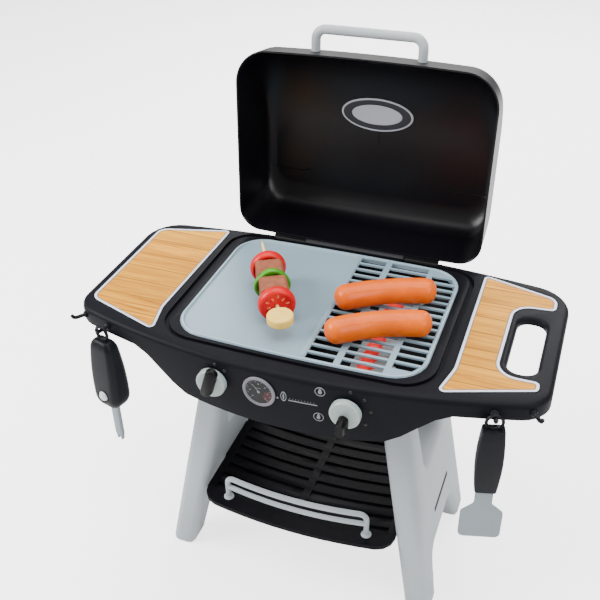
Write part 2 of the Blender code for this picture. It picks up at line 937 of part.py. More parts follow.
def make_leg_screws(parent):
    head_seat = -bowl_depth + bowl_wall + clearance
    profile = [
        (screw_radius, head_seat - screw_length),
        (screw_radius, head_seat),
        (screw_head_radius, head_seat),
        (screw_head_radius, head_seat + screw_head_height / 2),
        (screw_head_radius / 2, head_seat + screw_head_height),
    ]
    for side_name, side in (("left", -1), ("right", 1)):
        for place, screw_y in zip(("front", "rear"), screw_places()):
            screw = turned(f"{side_name}_{place}_leg_screw", profile, screw_sides, screw_steel(), parent)
            screw.location = (side * screw_x(), screw_y, 0)


def cut_screw_holes_in_bowl(parent):
    bowl = bpy.data.objects["fire_bowl"]
    for side in (-1, 1):
        for screw_y in screw_places():
            cut(bowl, screw_hole_cutter(side, screw_y, -bowl_depth - bowl_wall, overrun, parent))


# Lower shelf with its guard rail

shelf_gap = 0.0015
shelf_side_front = -0.128
shelf_front = 0.150
shelf_back = 0.098
shelf_bow = 0.016
shelf_corner = 0.026
shelf_border = 0.014
shelf_spine_half = 0.007
shelf_groove_depth = 0.003
shelf_groove_half = 0.0075
shelf_groove_pitch = 0.024
shelf_grooves = 9
rail_x = 0.1205
rail_y = -0.1360
rail_bow = 0.0110
rail_height = 0.050
rail_radius = 0.0045
rail_gap = 0.021
rail_bend = 0.012


def shelf_half_width():
    return frame_outer_x(-shelf_drop) - frame_thickness - shelf_gap


def shelf_bow_at(x):
    return shelf_bow * (1 - (x / shelf_half_width()) ** 2)


def make_shelf(parent):
    half = shelf_half_width()
    outline = tray_outline(half, shelf_front, shelf_back, shelf_corner, shelf_border, shelf_bow, 0,
                           front_steps=10, back_steps=1, arc_steps=3)
    shelf = prism("lower_shelf", outline, -shelf_drop - shelf_thickness, -shelf_drop, black_plastic(), parent)
    for side_name, side in (("left", -1), ("right", 1)):
        inward = frame_thickness + overrun
        tab = loft(side_name + "_shelf_tab_add", splayed(shelf_tab_outline(0), side, 0, inward),
                   black_plastic(), parent)
        join(shelf, tab)
    mesh = bpy.data.meshes.new("shelf_groove_cuts")
    build = bmesh.new()
    steps = 5
    for row in range(shelf_grooves):
        y = shelf_back - shelf_border - shelf_groove_half - shelf_groove_pitch * row
        for side in (-1, 1):
            low_x = shelf_spine_half
            high_x = half - shelf_border
            strips = []
            for z in (-shelf_drop - shelf_groove_depth, -shelf_drop + overrun):
                near = []
                far = []
                for k in range(steps + 1):
                    x = between(low_x, high_x, k / steps)
                    bow = shelf_bow_at(x)
                    near.append(build.verts.new((side * x, y - shelf_groove_half - bow, z)))
                    far.append(build.verts.new((side * x, y + shelf_groove_half - bow, z)))
                strips.append((near, far))
            (low_near, low_far), (high_near, high_far) = strips
            for k in range(steps):
                build.faces.new((low_near[k], low_near[k + 1], low_far[k + 1], low_far[k]))
                build.faces.new((high_near[k], high_near[k + 1], high_far[k + 1], high_far[k]))
                build.faces.new((low_near[k], low_near[k + 1], high_near[k + 1], high_near[k]))
                build.faces.new((low_far[k], low_far[k + 1], high_far[k + 1], high_far[k]))
            build.faces.new((low_near[0], low_far[0], high_far[0], high_near[0]))
            build.faces.new((low_near[-1], low_far[-1], high_far[-1], high_near[-1]))
    bmesh.ops.recalc_face_normals(build, faces=build.faces)
    build.to_mesh(mesh)
    build.free()
    cut(shelf, add_object("shelf_groove_cut", mesh, black_plastic(), parent))


def rail_point(x, z):
    return (x, rail_y - rail_bow * (1 - (x / rail_x) ** 2), z)


def make_shelf_rail(parent):
    foot = -shelf_drop + clearance
    top = foot + rail_height - rail_radius
    bend_steps = 4
    straight_steps = 10
    left = [rail_point(-rail_x, foot), rail_point(-rail_x, top - rail_bend)]
    for k in range(1, bend_steps + 1):
        angle = pi / 2 * k / bend_steps
        left.append(rail_point(-rail_x + rail_bend * (1 - cos(angle)), top - rail_bend * (1 - sin(angle))))
    reach = rail_x - rail_bend
    middle = [rail_point(between(-reach, reach, k / straight_steps), top) for k in range(1, straight_steps)]
    path = left + middle + [(-x, y, z) for x, y, z in reversed(left)]
    rail = swept("shelf_rail", path, [rail_radius] * len(path), 8, grey_plastic(), parent)
    lower = [rail_point(between(-rail_x, rail_x, k / straight_steps), top - rail_gap)
             for k in range(straight_steps + 1)]
    bar = swept("lower_rail_add", lower, [rail_radius - clearance] * len(lower), 8, grey_plastic(), parent)
    join(rail, bar)


# Controls on the apron

knob_standoff = 0.0028
collar_standoff = 0.0013
knob_depth = 0.012
knob_edge = 0.003
knob_edge_share = 0.33
knob_dome = 0.0015
collar_radius = 0.0085
clip_radius = 0.0075
clip_thickness = 0.002
clip_play = 0.0009
spindle_tail = 0.005
grip_half_width = 0.0078
grip_length_up = 0.0235
grip_length_down = 0.0195
grip_depth = 0.006
grip_taper = 0.0026
lever_reach = 0.0215
lever_tail = 0.004
lever_depth = 0.019
lever_half_width = 0.0075
lever_taper = 0.0015
left_knob_turn = radians(-13)
grip_rise_shares = (0, 0.55, 0.85, 1)
grip_taper_shares = (0, 0.25, 0.6, 1)
grip_corner_share = 0.98
gauge_facet_steps = -17
gauge_share = 0.72
gauge_z = -0.0375
gauge_radius = 0.0255
gauge_thickness = 0.0016
gauge_rim = 0.0035
gauge_rim_height = 0.0008


def knob_frame(name, side, parent):
    """An empty on the knob's axis: its local Z points out of the apron, its local Y up."""
    face = deck_front_at(knob_x)
    return add_empty(name, parent, (side * knob_x, face, knob_z), (pi / 2, 0, 0))


def make_knob(side_name, holder):
    back = knob_standoff
    front = back + knob_depth
    tail = -skirt_wall - clearance - clip_thickness - spindle_tail
    profile = [
        (spindle_radius, tail),
        (spindle_radius, collar_standoff),
        (collar_radius, collar_standoff),
        (collar_radius, back),
        (knob_radius, back),
        (knob_radius, front - knob_edge),
        (knob_radius - knob_edge * knob_edge_share, front - knob_edge * knob_edge_share),
        (knob_radius - knob_edge, front),
        (knob_radius / 2, front + knob_dome),
    ]
    turned(side_name + "_knob_disc", profile, 28, silver_plastic(), holder)
    inner = spindle_radius + clearance
    clip_front = -skirt_wall - clip_play
    clip_back = clip_front - clip_thickness
    turned(side_name + "_knob_clip",
           [(inner, clip_back), (clip_radius, clip_back), (clip_radius, clip_front), (inner, clip_front)],
           16, screw_steel(), holder, closed=True)


def grip_rings(half_width, low, high, base, depth, taper):
    """A bar with round ends that narrows and rounds over as it stands out of the knob."""
    rings = []
    for rise_share, taper_share in zip(grip_rise_shares, grip_taper_shares):
        inset = taper * taper_share
        half = half_width - inset
        corner = half * grip_corner_share
        outline = filleted([
            (-half, low + inset, corner), (half, low + inset, corner),
            (half, high - inset, corner), (-half, high - inset, corner),
        ], steps=4)
        rings.append(at_height(outline, base + depth * rise_share))
    return rings


def make_left_grip(holder):
    base = knob_standoff + knob_depth + knob_dome + clearance
    loft("left_knob_grip", grip_rings(grip_half_width, -grip_length_down, grip_length_up, base, grip_depth,
                                      grip_taper), black_plastic(), holder)


def make_right_grip(holder):
    base = knob_standoff + knob_depth + knob_dome + clearance
    loft("right_knob_grip", grip_rings(lever_half_width, -lever_reach, lever_tail, base, lever_depth,
                                       lever_taper), black_plastic(), holder)


def make_gauge(parent):
    profile = [
        (gauge_radius - clearance, 0),
        (gauge_radius, gauge_rim_height),
        (gauge_radius, gauge_thickness),
        (gauge_radius - gauge_rim_height, gauge_thickness + gauge_rim_height),
        (gauge_radius - gauge_rim + gauge_rim_height, gauge_thickness + gauge_rim_height),
        (gauge_radius - gauge_rim, gauge_thickness),
    ]
    gauge = turned("heat_gauge", profile, 28, silver_plastic(), parent)
    place, turn = deck_facet(gauge_facet_steps, gauge_share)
    gauge.location = (place.x, place.y - clearance, gauge_z)
    gauge.rotation_euler = (pi / 2, 0, turn)


# Tool hooks

hook_z = -0.0135
hook_radius = 0.003
hook_flange = 0.0055
hook_flange_thickness = 0.002
hook_flange_fillet = 0.002
hook_reach = 0.022
hook_lift = 0.007
hook_bend_share = 0.6
hook_tip_share = 0.7
inner_hook_facet_steps = -2
inner_hook_share = 0.35
outer_hook_facet_steps = 1
outer_hook_share = 0.5
peg_middle_share = 0.62


def deck_facet(step, share):
    """A place on one flat of the deck's edge and the turn from straight ahead that the flat faces."""
    outline = deck_outline()
    first = Vector(outline[step])
    along = Vector(outline[step + 1]) - first
    return first + along * share, atan2(along.y, along.x)


def make_hook(name, side, facet, share, parent):
    """A peg on a small flange, with its tip turned up, square to the deck's edge."""
    place, turn = deck_facet(facet, share)
    holder = add_empty(name + "_seat", parent, (side * place.x, place.y, hook_z), (0, 0, side * turn))
    start = -clearance
    path = [
        (0, start, 0),
        (0, start - hook_flange_thickness, 0),
        (0, start - hook_flange_thickness - hook_flange_fillet, 0),
        (0, -hook_reach + hook_radius * 2, 0),
        (0, -hook_reach + hook_radius * hook_bend_share, hook_radius * hook_bend_share),
        (0, -hook_reach, hook_radius * 2),
        (0, -hook_reach, hook_lift),
    ]
    radii = [hook_flange] * 2 + [hook_radius] * 4 + [hook_radius * hook_tip_share]
    swept(name, path, radii, 10, black_plastic(), holder)
    return holder


# Food

sausage_radius = 0.0195
sausage_length = 0.155
sausage_bow = 0.011
sausage_tip_share = 0.35
sausage_turn = radians(27)
rear_sausage_x = 0.0945
rear_sausage_y = 0.0200
front_sausage_x = 0.1075
front_sausage_y = -0.0645
skewer_x = -0.0975
skewer_y = 0.0200
skewer_turn = radians(-60.5)
tomato_radius = 0.0285
tomato_thickness = 0.017
tomato_dish = 0.003
tomato_edge_share = 0.22
tomato_dish_share = 0.72
tomato_inner_share = 0.82
tomato_outer_share = 0.92
meat_half = 0.0215
meat_length = 0.0370
meat_edge = 0.006
pepper_radius = 0.0280
pepper_thickness = 0.010
pepper_wall = 0.005
pepper_lobe_share = 0.03
pepper_web_share = 0.33
stick_radius = 0.0026
stick_tail = 0.081
stick_tip_share = 0.4
stick_point_length = 0.0078
potato_radius = 0.0198
potato_half_height = 0.0068
potato_place = 0.137
potato_edge_share = 0.4
food_gap = 0.0003
grille_seat = clearance + grate_rise
griddle_seat = clearance - griddle_drop


def make_sausage(name, x, y, parent):
    holder = add_empty(name + "_place", parent, (x, y, sausage_radius + grille_seat),
                       (0, 0, sausage_turn))
    straight = sausage_length / 2 - sausage_radius
    cap_steps = 3
    body_steps = 7
    stations = []
    for k in range(cap_steps):
        angle = pi / 2 * (1 - (k + sausage_tip_share) / cap_steps)
        stations.append((-straight - sausage_radius * sin(angle), sausage_radius * cos(angle)))
    for k in range(body_steps + 1):
        stations.append((between(-straight, straight, k / body_steps), sausage_radius))
    for s, radius in reversed(stations[:cap_steps]):
        stations.append((-s, radius))
    path = []
    for s, radius in stations:
        bow = 1 - (2 * s / sausage_length) ** 2
        path.append((s, sausage_bow * bow - sausage_bow / 2, 0))
    radii = [radius for s, radius in stations]
    swept(name, path, radii, 14, finish_of("sausage_orange", (0.82, 0.22, 0.05), 0.30), holder)


def across_skewer(outline, start, end):
    """Rings square to the skewer, which runs along local X."""
    return [[(s, u, v) for u, v in outline] for s in (start, end)]


def stick_bore(name, start, end, holder):
    rings = across_skewer(circle(stick_radius + food_gap, 10), start - overrun, end + overrun)
    return loft(name, rings, wood_laminate(), holder)


def make_tomato(name, centre, holder):
    edge = tomato_thickness * tomato_edge_share
    half = tomato_thickness / 2
    profile = [
        (tomato_radius * tomato_dish_share, -half + tomato_dish),
        (tomato_radius * tomato_inner_share, -half),
        (tomato_radius * tomato_outer_share, -half),
        (tomato_radius, -half + edge),
        (tomato_radius, half - edge),
        (tomato_radius * tomato_outer_share, half),
        (tomato_radius * tomato_inner_share, half),
        (tomato_radius * tomato_dish_share, half - tomato_dish),
    ]
    rings = [[(centre + s, u, v) for u, v in circle(radius, 20)] for radius, s in profile]
    slice_ = loft(name, rings, finish_of("tomato_red", (0.73, 0.04, 0.05), 0.35), holder)
    cut(slice_, stick_bore(name + "_bore_cut", centre - half, centre + half, holder))


def make_meat(name, start, holder):
    outline = filleted([
        (-meat_half, -meat_half, meat_edge), (meat_half, -meat_half, meat_edge),
        (meat_half, meat_half, meat_edge), (-meat_half, meat_half, meat_edge),
    ], steps=3)
    block = loft(name, across_skewer(outline, start, start + meat_length),
                 finish_of("meat_brown", (0.42, 0.20, 0.13), 0.60), holder)
    cut(block, stick_bore(name + "_bore_cut", start, start + meat_length, holder))


def pepper_section(theta, radius):
    """A pepper ring has four soft lobes."""
    return radius * (1 + pepper_lobe_share * cos(4 * theta))


def make_pepper(start, holder):
    sides = 24
    rings = []
    half = pepper_thickness / 2
    inner = meat_half * sqrt(2) - meat_edge * (sqrt(2) - 1) + food_gap
    inner = min(inner, pepper_radius - pepper_wall / 2)
    middle = start + half
    hub = stick_radius + food_gap
    web = half * pepper_web_share
    for radius, s, lobed in (
        (hub, -web, False), (inner, -web, True), (inner, -half, True), (pepper_radius, -half, True),
        (pepper_radius, half, True), (inner, half, True), (inner, web, True), (hub, web, False),
    ):
        ring = []
        for k in range(sides):
            theta = 2 * pi * k / sides
            size = pepper_section(theta, radius) if lobed else radius
            ring.append((middle + s, size * cos(theta), size * sin(theta)))
        rings.append(ring)
    loft("pepper_ring", rings, finish_of("pepper_green", (0.13, 0.45, 0.06), 0.40), holder, closed=True)


def make_skewer(parent):
    height = pepper_radius * (1 + pepper_lobe_share) + griddle_seat
    holder = add_empty("skewer_place", parent, (skewer_x, skewer_y, height), (0, 0, skewer_turn))
    half_tomato = tomato_thickness / 2
    first_meat = half_tomato + food_gap
    pepper_start = first_meat + meat_length + food_gap
    second_meat = pepper_start + pepper_thickness + food_gap
    second_tomato = second_meat + meat_length + food_gap + half_tomato
    make_tomato("rear_tomato", 0, holder)
    make_meat("rear_meat", first_meat, holder)
    make_pepper(pepper_start, holder)
    make_meat("front_meat", second_meat, holder)
    make_tomato("front_tomato", second_tomato, holder)
    end = potato_place
    path = [(-stick_tail, 0, 0), (-stick_tail + stick_point_length, 0, 0), (end, 0, 0)]
    swept("skewer_stick", path, [stick_radius * stick_tip_share, stick_radius, stick_radius], 12,
          finish_of("skewer_cream", (0.87, 0.74, 0.45), 0.50), holder)
    edge = potato_half_height * potato_edge_share
    potato = turned("potato_slice", [
        (potato_radius - edge, -potato_half_height), (potato_radius, -potato_half_height + edge),
        (potato_radius, potato_half_height - edge), (potato_radius - edge, potato_half_height),
    ], 28, finish_of("potato_cream", (0.90, 0.73, 0.42), 0.45), holder)
    potato.location = (potato_place + stick_radius, 0, 0)
    cut(potato, loft("potato_bore_cut",
                     across_skewer(circle(stick_radius + food_gap, 10), potato_place - 2 * potato_radius,
                                   potato_place + food_gap),
                     wood_laminate(), holder))


# Hanging tools

ring_radius = 0.0112
ring_tube = 0.0024
ring_sides = 16
ring_tube_sides = 6
fork_length = 0.122
fork_crown = 0.008
fork_toe = 0.009
fork_crown_half_x = 0.0120
fork_crown_half_y = 0.0065
fork_top_half_x = 0.0175
fork_top_half_y = 0.0095
fork_low_half_x = 0.0195
fork_low_half_y = 0.0170
fork_toe_half_x = 0.0150
fork_toe_half_y = 0.0125
fork_edge = 0.005
fork_shank_half_x = 0.0064
fork_shank_half_y = 0.0028
fork_shank_length = 0.062
fork_shank_sunk = 0.018
fork_stud_radius = 0.0072
fork_stud_rise = 0.0040
fork_stud_drop = 0.100
fork_stud_recess = 0.0095
fork_stud_recess_depth = 0.0025
fork_stud_shoulder_share = 0.85
fork_stud_crown_share = 0.5
fork_stud_crown_rise = 0.0012
fork_tip_share = 0.5
turner_half_x = 0.0182
turner_end_half_x = 0.0150
turner_half_y = 0.0110
turner_end_half_y = 0.0090
turner_length = 0.112
turner_edge = 0.003
blade_neck_half_x = 0.0125
blade_half_x = 0.0300
blade_thickness = 0.0030
blade_neck_length = 0.030
blade_length = 0.098
blade_sunk = 0.020
blade_corner = 0.008
socket_corner = 0.0006


def ring_drop():
    """How far a hanging ring's middle lies below the peg that it hangs on."""
    return ring_radius - ring_tube - hook_radius - clearance


def handle_top():
    """The handle starts at the middle of the lower side of its ring."""
    return -ring_drop() - ring_radius


def add_tool_ring(name, handle, holder):
    rings = []
    for k in range(ring_sides):
        angle = 2 * pi * k / ring_sides
        centre = Vector((ring_radius * cos(angle), 0, ring_radius * sin(angle) - ring_drop()))
        out = Vector((cos(angle), 0, sin(angle)))
        ring = []
        for u, v in circle(ring_tube, ring_tube_sides):
            ring.append(tuple(centre + out * u + Vector((0, v, 0))))
        rings.append(ring)
    join(handle, loft(name, rings, black_plastic(), holder, closed=True))


def level_ring(half_x, half_y, z, radius):
    return at_height(filleted([
        (-half_x, -half_y, radius), (half_x, -half_y, radius),
        (half_x, half_y, radius), (-half_x, half_y, radius),
    ], steps=3), z)


def make_fork(holder):
    """A wedge-shaped handle that deepens downwards, with a round stud and a flat shank."""
    top = handle_top()
    low = top - fork_length
    shoulder = top - fork_crown
    hip = low + fork_toe
    handle = loft("fork_handle", [
        level_ring(fork_toe_half_x, fork_toe_half_y, low, fork_edge),
        level_ring(fork_low_half_x, fork_low_half_y, hip, fork_edge),
        level_ring(fork_top_half_x, fork_top_half_y, shoulder, fork_edge),
        level_ring(fork_crown_half_x, fork_crown_half_y, top, fork_edge),
    ], black_plastic(), holder)
    add_tool_ring("fork_ring_add", handle, holder)
    socket_x = fork_shank_half_x + clearance
    socket_y = fork_shank_half_y + clearance
    cut(handle, loft("fork_socket_cut", [
        level_ring(socket_x, socket_y, low - overrun, socket_corner),
        level_ring(socket_x, socket_y, low + fork_shank_sunk + clearance, socket_corner),
    ], black_plastic(), holder))
    stud_z = top - fork_stud_drop
    share = (shoulder - stud_z) / (shoulder - hip)
    face = fork_top_half_y + (fork_low_half_y - fork_top_half_y) * share
    lean = atan2(fork_low_half_y - fork_top_half_y, shoulder - hip)
    seat = add_empty("fork_stud_seat", holder, (0, -face, stud_z), (pi / 2 + lean, 0, 0))
    bottom = -fork_stud_recess_depth
    cut(handle, turned("fork_stud_cut", [(fork_stud_recess, bottom), (fork_stud_recess, overrun)],
                       16, black_plastic(), seat))
    base = bottom + clearance
    turned("fork_stud", [
        (fork_stud_radius, base),
        (fork_stud_radius, base + fork_stud_rise / 2),
        (fork_stud_radius * fork_stud_shoulder_share, base + fork_stud_rise),
        (fork_stud_radius * fork_stud_crown_share, base + fork_stud_rise + fork_stud_crown_rise),
    ], 16, silver_plastic(), seat)
    tip = low - fork_shank_length
    loft("fork_shank", [
        level_ring(fork_shank_half_x * fork_tip_share, fork_shank_half_y, tip, socket_corner),
        level_ring(fork_shank_half_x, fork_shank_half_y, tip + fork_shank_half_x, socket_corner),
        level_ring(fork_shank_half_x, fork_shank_half_y, low + fork_shank_sunk, socket_corner),
    ], grey_plastic(), holder)


def make_turner(holder):
    """A barrel-shaped handle and a flat blade that widens below its neck."""
    top = handle_top()
    low = top - turner_length
    stations = 6
    rings = []
    for k in range(stations + 1):
        share = k / stations
        swell = sin(pi * share)
        half_x = turner_end_half_x + (turner_half_x - turner_end_half_x) * swell
        half_y = turner_end_half_y + (turner_half_y - turner_end_half_y) * swell
        rings.append(level_ring(half_x, half_y, low + turner_length * share, turner_edge))
    handle = loft("turner_handle", rings, black_plastic(), holder)
    add_tool_ring("turner_ring_add", handle, holder)
    half = blade_thickness / 2
    socket_x = blade_neck_half_x + clearance
    socket_y = half + clearance
    cut(handle, loft("turner_socket_cut", [
        level_ring(socket_x, socket_y, low - overrun, socket_corner),
        level_ring(socket_x, socket_y, low + blade_sunk + clearance, socket_corner),
    ], black_plastic(), holder))
    neck_low = low - blade_neck_length
    blade_low = low - blade_length
    outline = filleted([
        (-blade_neck_half_x, low + blade_sunk, socket_corner), (-blade_neck_half_x, neck_low, blade_corner),
        (-blade_half_x, neck_low - blade_corner * 2, blade_corner), (-blade_half_x, blade_low, blade_corner),
        (blade_half_x, blade_low, blade_corner), (blade_half_x, neck_low - blade_corner * 2, blade_corner),
        (blade_neck_half_x, neck_low, blade_corner), (blade_neck_half_x, low + blade_sunk, socket_corner),
    ], steps=3)
    loft("turner_blade", [
        [(x, -half, z) for x, z in outline], [(x, half, z) for x, z in outline],
    ], grey_plastic(), holder)


def build_grill():
    clear_scene()
    root = add_empty("deck_centre", None, (0, grate_centre_y, deck_height))
    make_fire_bowl(root)
    cut_screw_holes_in_bowl(root)
    make_coals(root)
    make_deck(root)
    make_inlay("left", left_inlay_corners(), root)
    make_inlay("right", right_inlay_corners(), root)
    make_cooking_grate(root)
    lid_axis = add_empty("lid_axis", root, (0, hinge_y, hinge_z), (-lid_open_angle, 0, 0))
    make_lid(lid_axis)
    make_lid_handle(lid_axis)
    make_hinge_strip(root)
    for side_name, side in (("left", -1), ("right", 1)):
        make_lid_bracket(side_name, side, lid_axis)
        make_hinge_pin(side_name, side, root)
        make_side_frame(side_name, side, root)
        make_hook(side_name + "_outer_hook", side, outer_hook_facet_steps, outer_hook_share, root)
        peg = make_hook(side_name + "_inner_hook", side, inner_hook_facet_steps, inner_hook_share, root)
        hanger = add_empty(side_name + "_peg_middle", peg, (0, -hook_reach * peg_middle_share, 0))
        make_tool = make_fork if side < 0 else make_turner
        make_tool(hanger)
    make_leg_screws(root)
    make_shelf(root)
    make_shelf_rail(root)
    left_knob = knob_frame("left_knob_axis", -1, root)
    right_knob = knob_frame("right_knob_axis", 1, root)
    left_knob.rotation_euler.rotate_axis("Z", left_knob_turn)
    make_knob("left", left_knob)
    make_knob("right", right_knob)
    make_left_grip(left_knob)
    make_right_grip(right_knob)
    make_gauge(root)
    make_sausage("rear_sausage", rear_sausage_x, rear_sausage_y, root)
    make_sausage("front_sausage", front_sausage_x, front_sausage_y, root)
    make_skewer(root)
    bpy.context.view_layer.update()


build_grill()
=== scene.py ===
import json
import bmesh
import bpy
import numpy as np
from mathutils import Matrix, Vector


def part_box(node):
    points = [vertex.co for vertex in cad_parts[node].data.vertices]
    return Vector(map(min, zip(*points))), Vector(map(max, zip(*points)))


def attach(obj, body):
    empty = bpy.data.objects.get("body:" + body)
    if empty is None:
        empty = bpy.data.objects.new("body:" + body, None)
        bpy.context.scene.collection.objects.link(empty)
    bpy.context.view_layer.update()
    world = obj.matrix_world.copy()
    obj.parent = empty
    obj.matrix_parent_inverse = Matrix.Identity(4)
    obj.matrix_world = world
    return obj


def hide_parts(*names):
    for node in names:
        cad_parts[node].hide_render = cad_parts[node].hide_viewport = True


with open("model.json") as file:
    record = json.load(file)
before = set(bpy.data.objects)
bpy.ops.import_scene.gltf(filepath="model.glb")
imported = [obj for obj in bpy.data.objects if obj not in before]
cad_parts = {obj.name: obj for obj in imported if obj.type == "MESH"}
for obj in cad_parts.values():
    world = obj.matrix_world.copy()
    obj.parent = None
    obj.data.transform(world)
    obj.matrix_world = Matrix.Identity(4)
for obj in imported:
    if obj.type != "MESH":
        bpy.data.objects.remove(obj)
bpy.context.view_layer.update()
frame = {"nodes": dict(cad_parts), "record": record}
print("stage: frame loaded, CAD nodes:", len(frame["nodes"]))

record = frame["record"]
bodyOf = {node: body for body, nodes in record["behaviour"]["bodies"].items() for node in nodes}
mm = 0.001


# Shapes: a shape is (points, faces), computed as whole arrays

def columns(*parts):
    return np.column_stack(parts)


def fullTurn(count):
    return np.linspace(0, 2 * np.pi, count, endpoint=False)


def turns(start, end, count):
    return np.radians(np.linspace(start, end, count))


def arcOf(turn, radius, x=0.0, y=0.0, tall=None):
    # Points (x + radius cos turn, y + tall sin turn); tall is the radius where it isn't given.
    return columns(x + radius * np.cos(turn), y + (radius if tall is None else tall) * np.sin(turn))


def withHeight(outline, z):
    return columns(outline, np.full(len(outline), z))


def gridShape(rows, wrapAlong=False, capEnds=True):
    # One quad between each four neighbours of a grid; each row closes on itself, the ends join or are capped.
    rows = np.asarray(rows, float)
    n, m = rows.shape[:2]
    i = np.arange(n if wrapAlong else n - 1)[:, None]
    j = np.arange(m)[None, :]
    i2, j2 = (i + 1) % n, (j + 1) % m
    faces = np.stack((i * m + j, i * m + j2, i2 * m + j2, i2 * m + j), -1).reshape(-1, 4).tolist()
    if capEnds and not wrapAlong:
        faces += [list(range(m - 1, -1, -1)), list(range((n - 1) * m, n * m))]
    return rows.reshape(-1, 3), faces


def latheShape(profile, sides=64, wrapAlong=False, capEnds=True, lobes=0.0, hub=0.01):
    # Point = (radius cos angle, radius sin angle, height) for each (radius, height) of the profile.
    # Outside the hub the radius is multiplied by 1 + lobes cos 4 angle.
    profile = np.asarray(profile, float)
    turn = fullTurn(sides)
    radius = profile[:, :1] * np.where(profile[:, :1] > hub, 1 + lobes * np.cos(4 * turn), 1.0)
    rows = np.stack((radius * np.cos(turn), radius * np.sin(turn), np.repeat(profile[:, 1:], sides, 1)), -1)
    return gridShape(rows, wrapAlong, capEnds)


def tubeShape(path, radius, sides=20, wrapAlong=False):
    # Round section along a path: centre + radius (cos t side + sin t across), with a steady side direction.
    path = np.asarray(path, float)
    radius = np.broadcast_to(np.asarray(radius, float), len(path))[:, None, None]
    ahead = np.roll(path, -1, 0) - np.roll(path, 1, 0) if wrapAlong else np.gradient(path, axis=0)
    ahead /= np.linalg.norm(ahead, axis=1)[:, None]
    flat = np.eye(3)[np.argmin(path.max(0) - path.min(0))]
    side = np.cross(ahead, flat)
    weak = np.linalg.norm(side, axis=1) < 0.2
    side[weak] = np.cross(ahead[weak], np.roll(flat, 1))
    side /= np.linalg.norm(side, axis=1)[:, None]
    across = np.cross(ahead, side)
    turn = fullTurn(sides)[None, :, None]
    rows = path[:, None] + radius * (np.cos(turn) * side[:, None] + np.sin(turn) * across[:, None])
    return gridShape(rows, wrapAlong)


def placed(shape, origin, xAxis=(1, 0, 0), yAxis=(0, 1, 0), zAxis=(0, 0, 1)):
    # New point = origin + x xAxis + y yAxis + z zAxis.
    points, faces = shape
    return points @ np.array((xAxis, yAxis, zAxis), float) + np.asarray(origin, float), faces


def trayOutline(half, front, back, nearRadius, farRadius, frontBow, backBow, arcPoints=14, edgePoints=26):
    # Rounded rectangle, counter-clockwise; its front and back edges swell by a parabola of x.
    quarter = turns(0, 90, arcPoints)
    corners = [arcOf(quarter - np.pi / 2, nearRadius, half - nearRadius, nearRadius - front),
               arcOf(quarter, farRadius, half - farRadius, back - farRadius),
               arcOf(quarter + np.pi / 2, farRadius, farRadius - half, back - farRadius),
               arcOf(quarter + np.pi, nearRadius, nearRadius - half, nearRadius - front)]
    share = np.linspace(0, 1, edgePoints)[1:-1, None]
    runs = []
    for corner, following in zip(corners, corners[1:] + corners[:1]):
        runs += [corner, corner[-1] + (following[0] - corner[-1]) * share]
    points = np.vstack(runs)
    swell = 1 - (points[:, 0] / half) ** 2
    y = points[:, 1]
    points[:, 1] = np.where(y < 0, y + frontBow * swell * y / front, y + backBow * swell * y / back)
    return points


def filleted(corners, inset=0, steps=9):
    # Polygon corners (x, y, radius) moved inwards and rounded by arcs that touch both sides.
    # A point is the complex number x + iy, so a turn is a product.
    x, y, radius = np.asarray(corners, float).T
    here = x + 1j * y
    outDir = np.roll(here, -1) - here
    outDir /= np.abs(outDir)
    inDir = np.roll(outDir, 1)
    turn = np.angle(outDir / inDir)
    bend = np.sign(turn)
    moved = here + 1j * (inDir + outDir) * inset / (1 + np.cos(turn))
    radius = np.maximum(radius - bend * inset, 0.0008)
    start = moved - inDir * radius * np.tan(np.abs(turn) / 2)
    centre = start + 1j * inDir * radius * bend
    spokes = (start - centre)[:, None] * np.exp(1j * turn[:, None] * np.linspace(0, 1, steps))
    points = (centre[:, None] + spokes).ravel()
    return columns(points.real, points.imag)


def roundedBox(halfX, halfY, corner, inset=0, steps=9):
    signs = ((-1, -1), (1, -1), (1, 1), (-1, 1))
    return filleted([(signX * halfX, signY * halfY, corner) for signX, signY in signs], inset, steps)


# Pieces: each takes the body of a CAD node, and replaces that node where it stands for it

def addObject(name, data):
    made = bpy.data.objects.new(name, data)
    bpy.context.scene.collection.objects.link(made)
    return made


def showPiece(name, source, node, finish, sharp, weld, angle=None, replaced=True):
    # The source mesh with its doubled points welded, and merged into whole faces where an angle is given.
    build = bmesh.new()
    build.from_mesh(source)
    bmesh.ops.remove_doubles(build, verts=build.verts, dist=weld)
    if angle is None:
        bmesh.ops.recalc_face_normals(build, faces=build.faces)
    else:
        bmesh.ops.dissolve_limit(build, angle_limit=angle, verts=build.verts, edges=build.edges)
    mesh = bpy.data.meshes.new(name)
    build.to_mesh(mesh)
    build.free()
    mesh.materials.clear()
    mesh.materials.append(finishes[finish])
    mesh.shade_smooth()
    mesh.set_sharp_from_angle(angle=np.radians(sharp))
    made = addObject(name, mesh)
    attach(made, bodyOf[node])
    if replaced:
        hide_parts(node)
    return made


def newPiece(name, node, finish, *shapes, sharp=38, replaced=True):
    faces, start = [], 0
    for shapePoints, shapeFaces in shapes:
        faces += [[index + start for index in face] for face in shapeFaces]
        start += len(shapePoints)
    source = bpy.data.meshes.new(name + "Source")
    source.from_pydata(np.vstack([shape[0] for shape in shapes]).tolist(), [], faces)
    showPiece(name, source, node, finish, sharp, 1e-7, replaced=replaced)
    bpy.data.meshes.remove(source)


def softened(node, finish, edge, sharp=38, segments=2):
    # The CAD solid merged into whole faces, with its edges broken by a small bevel.
    made = showPiece(node + "Finished", frame["nodes"][node].data, node, finish, sharp, 2e-6, np.radians(0.6))
    if edge:
        bevel = made.modifiers.new("brokenEdges", "BEVEL")
        bevel.width = edge
        bevel.segments = segments
        bevel.limit_method = "ANGLE"
        bevel.angle_limit = np.radians(32)
        bevel.use_clamp_overlap = True


# Materials

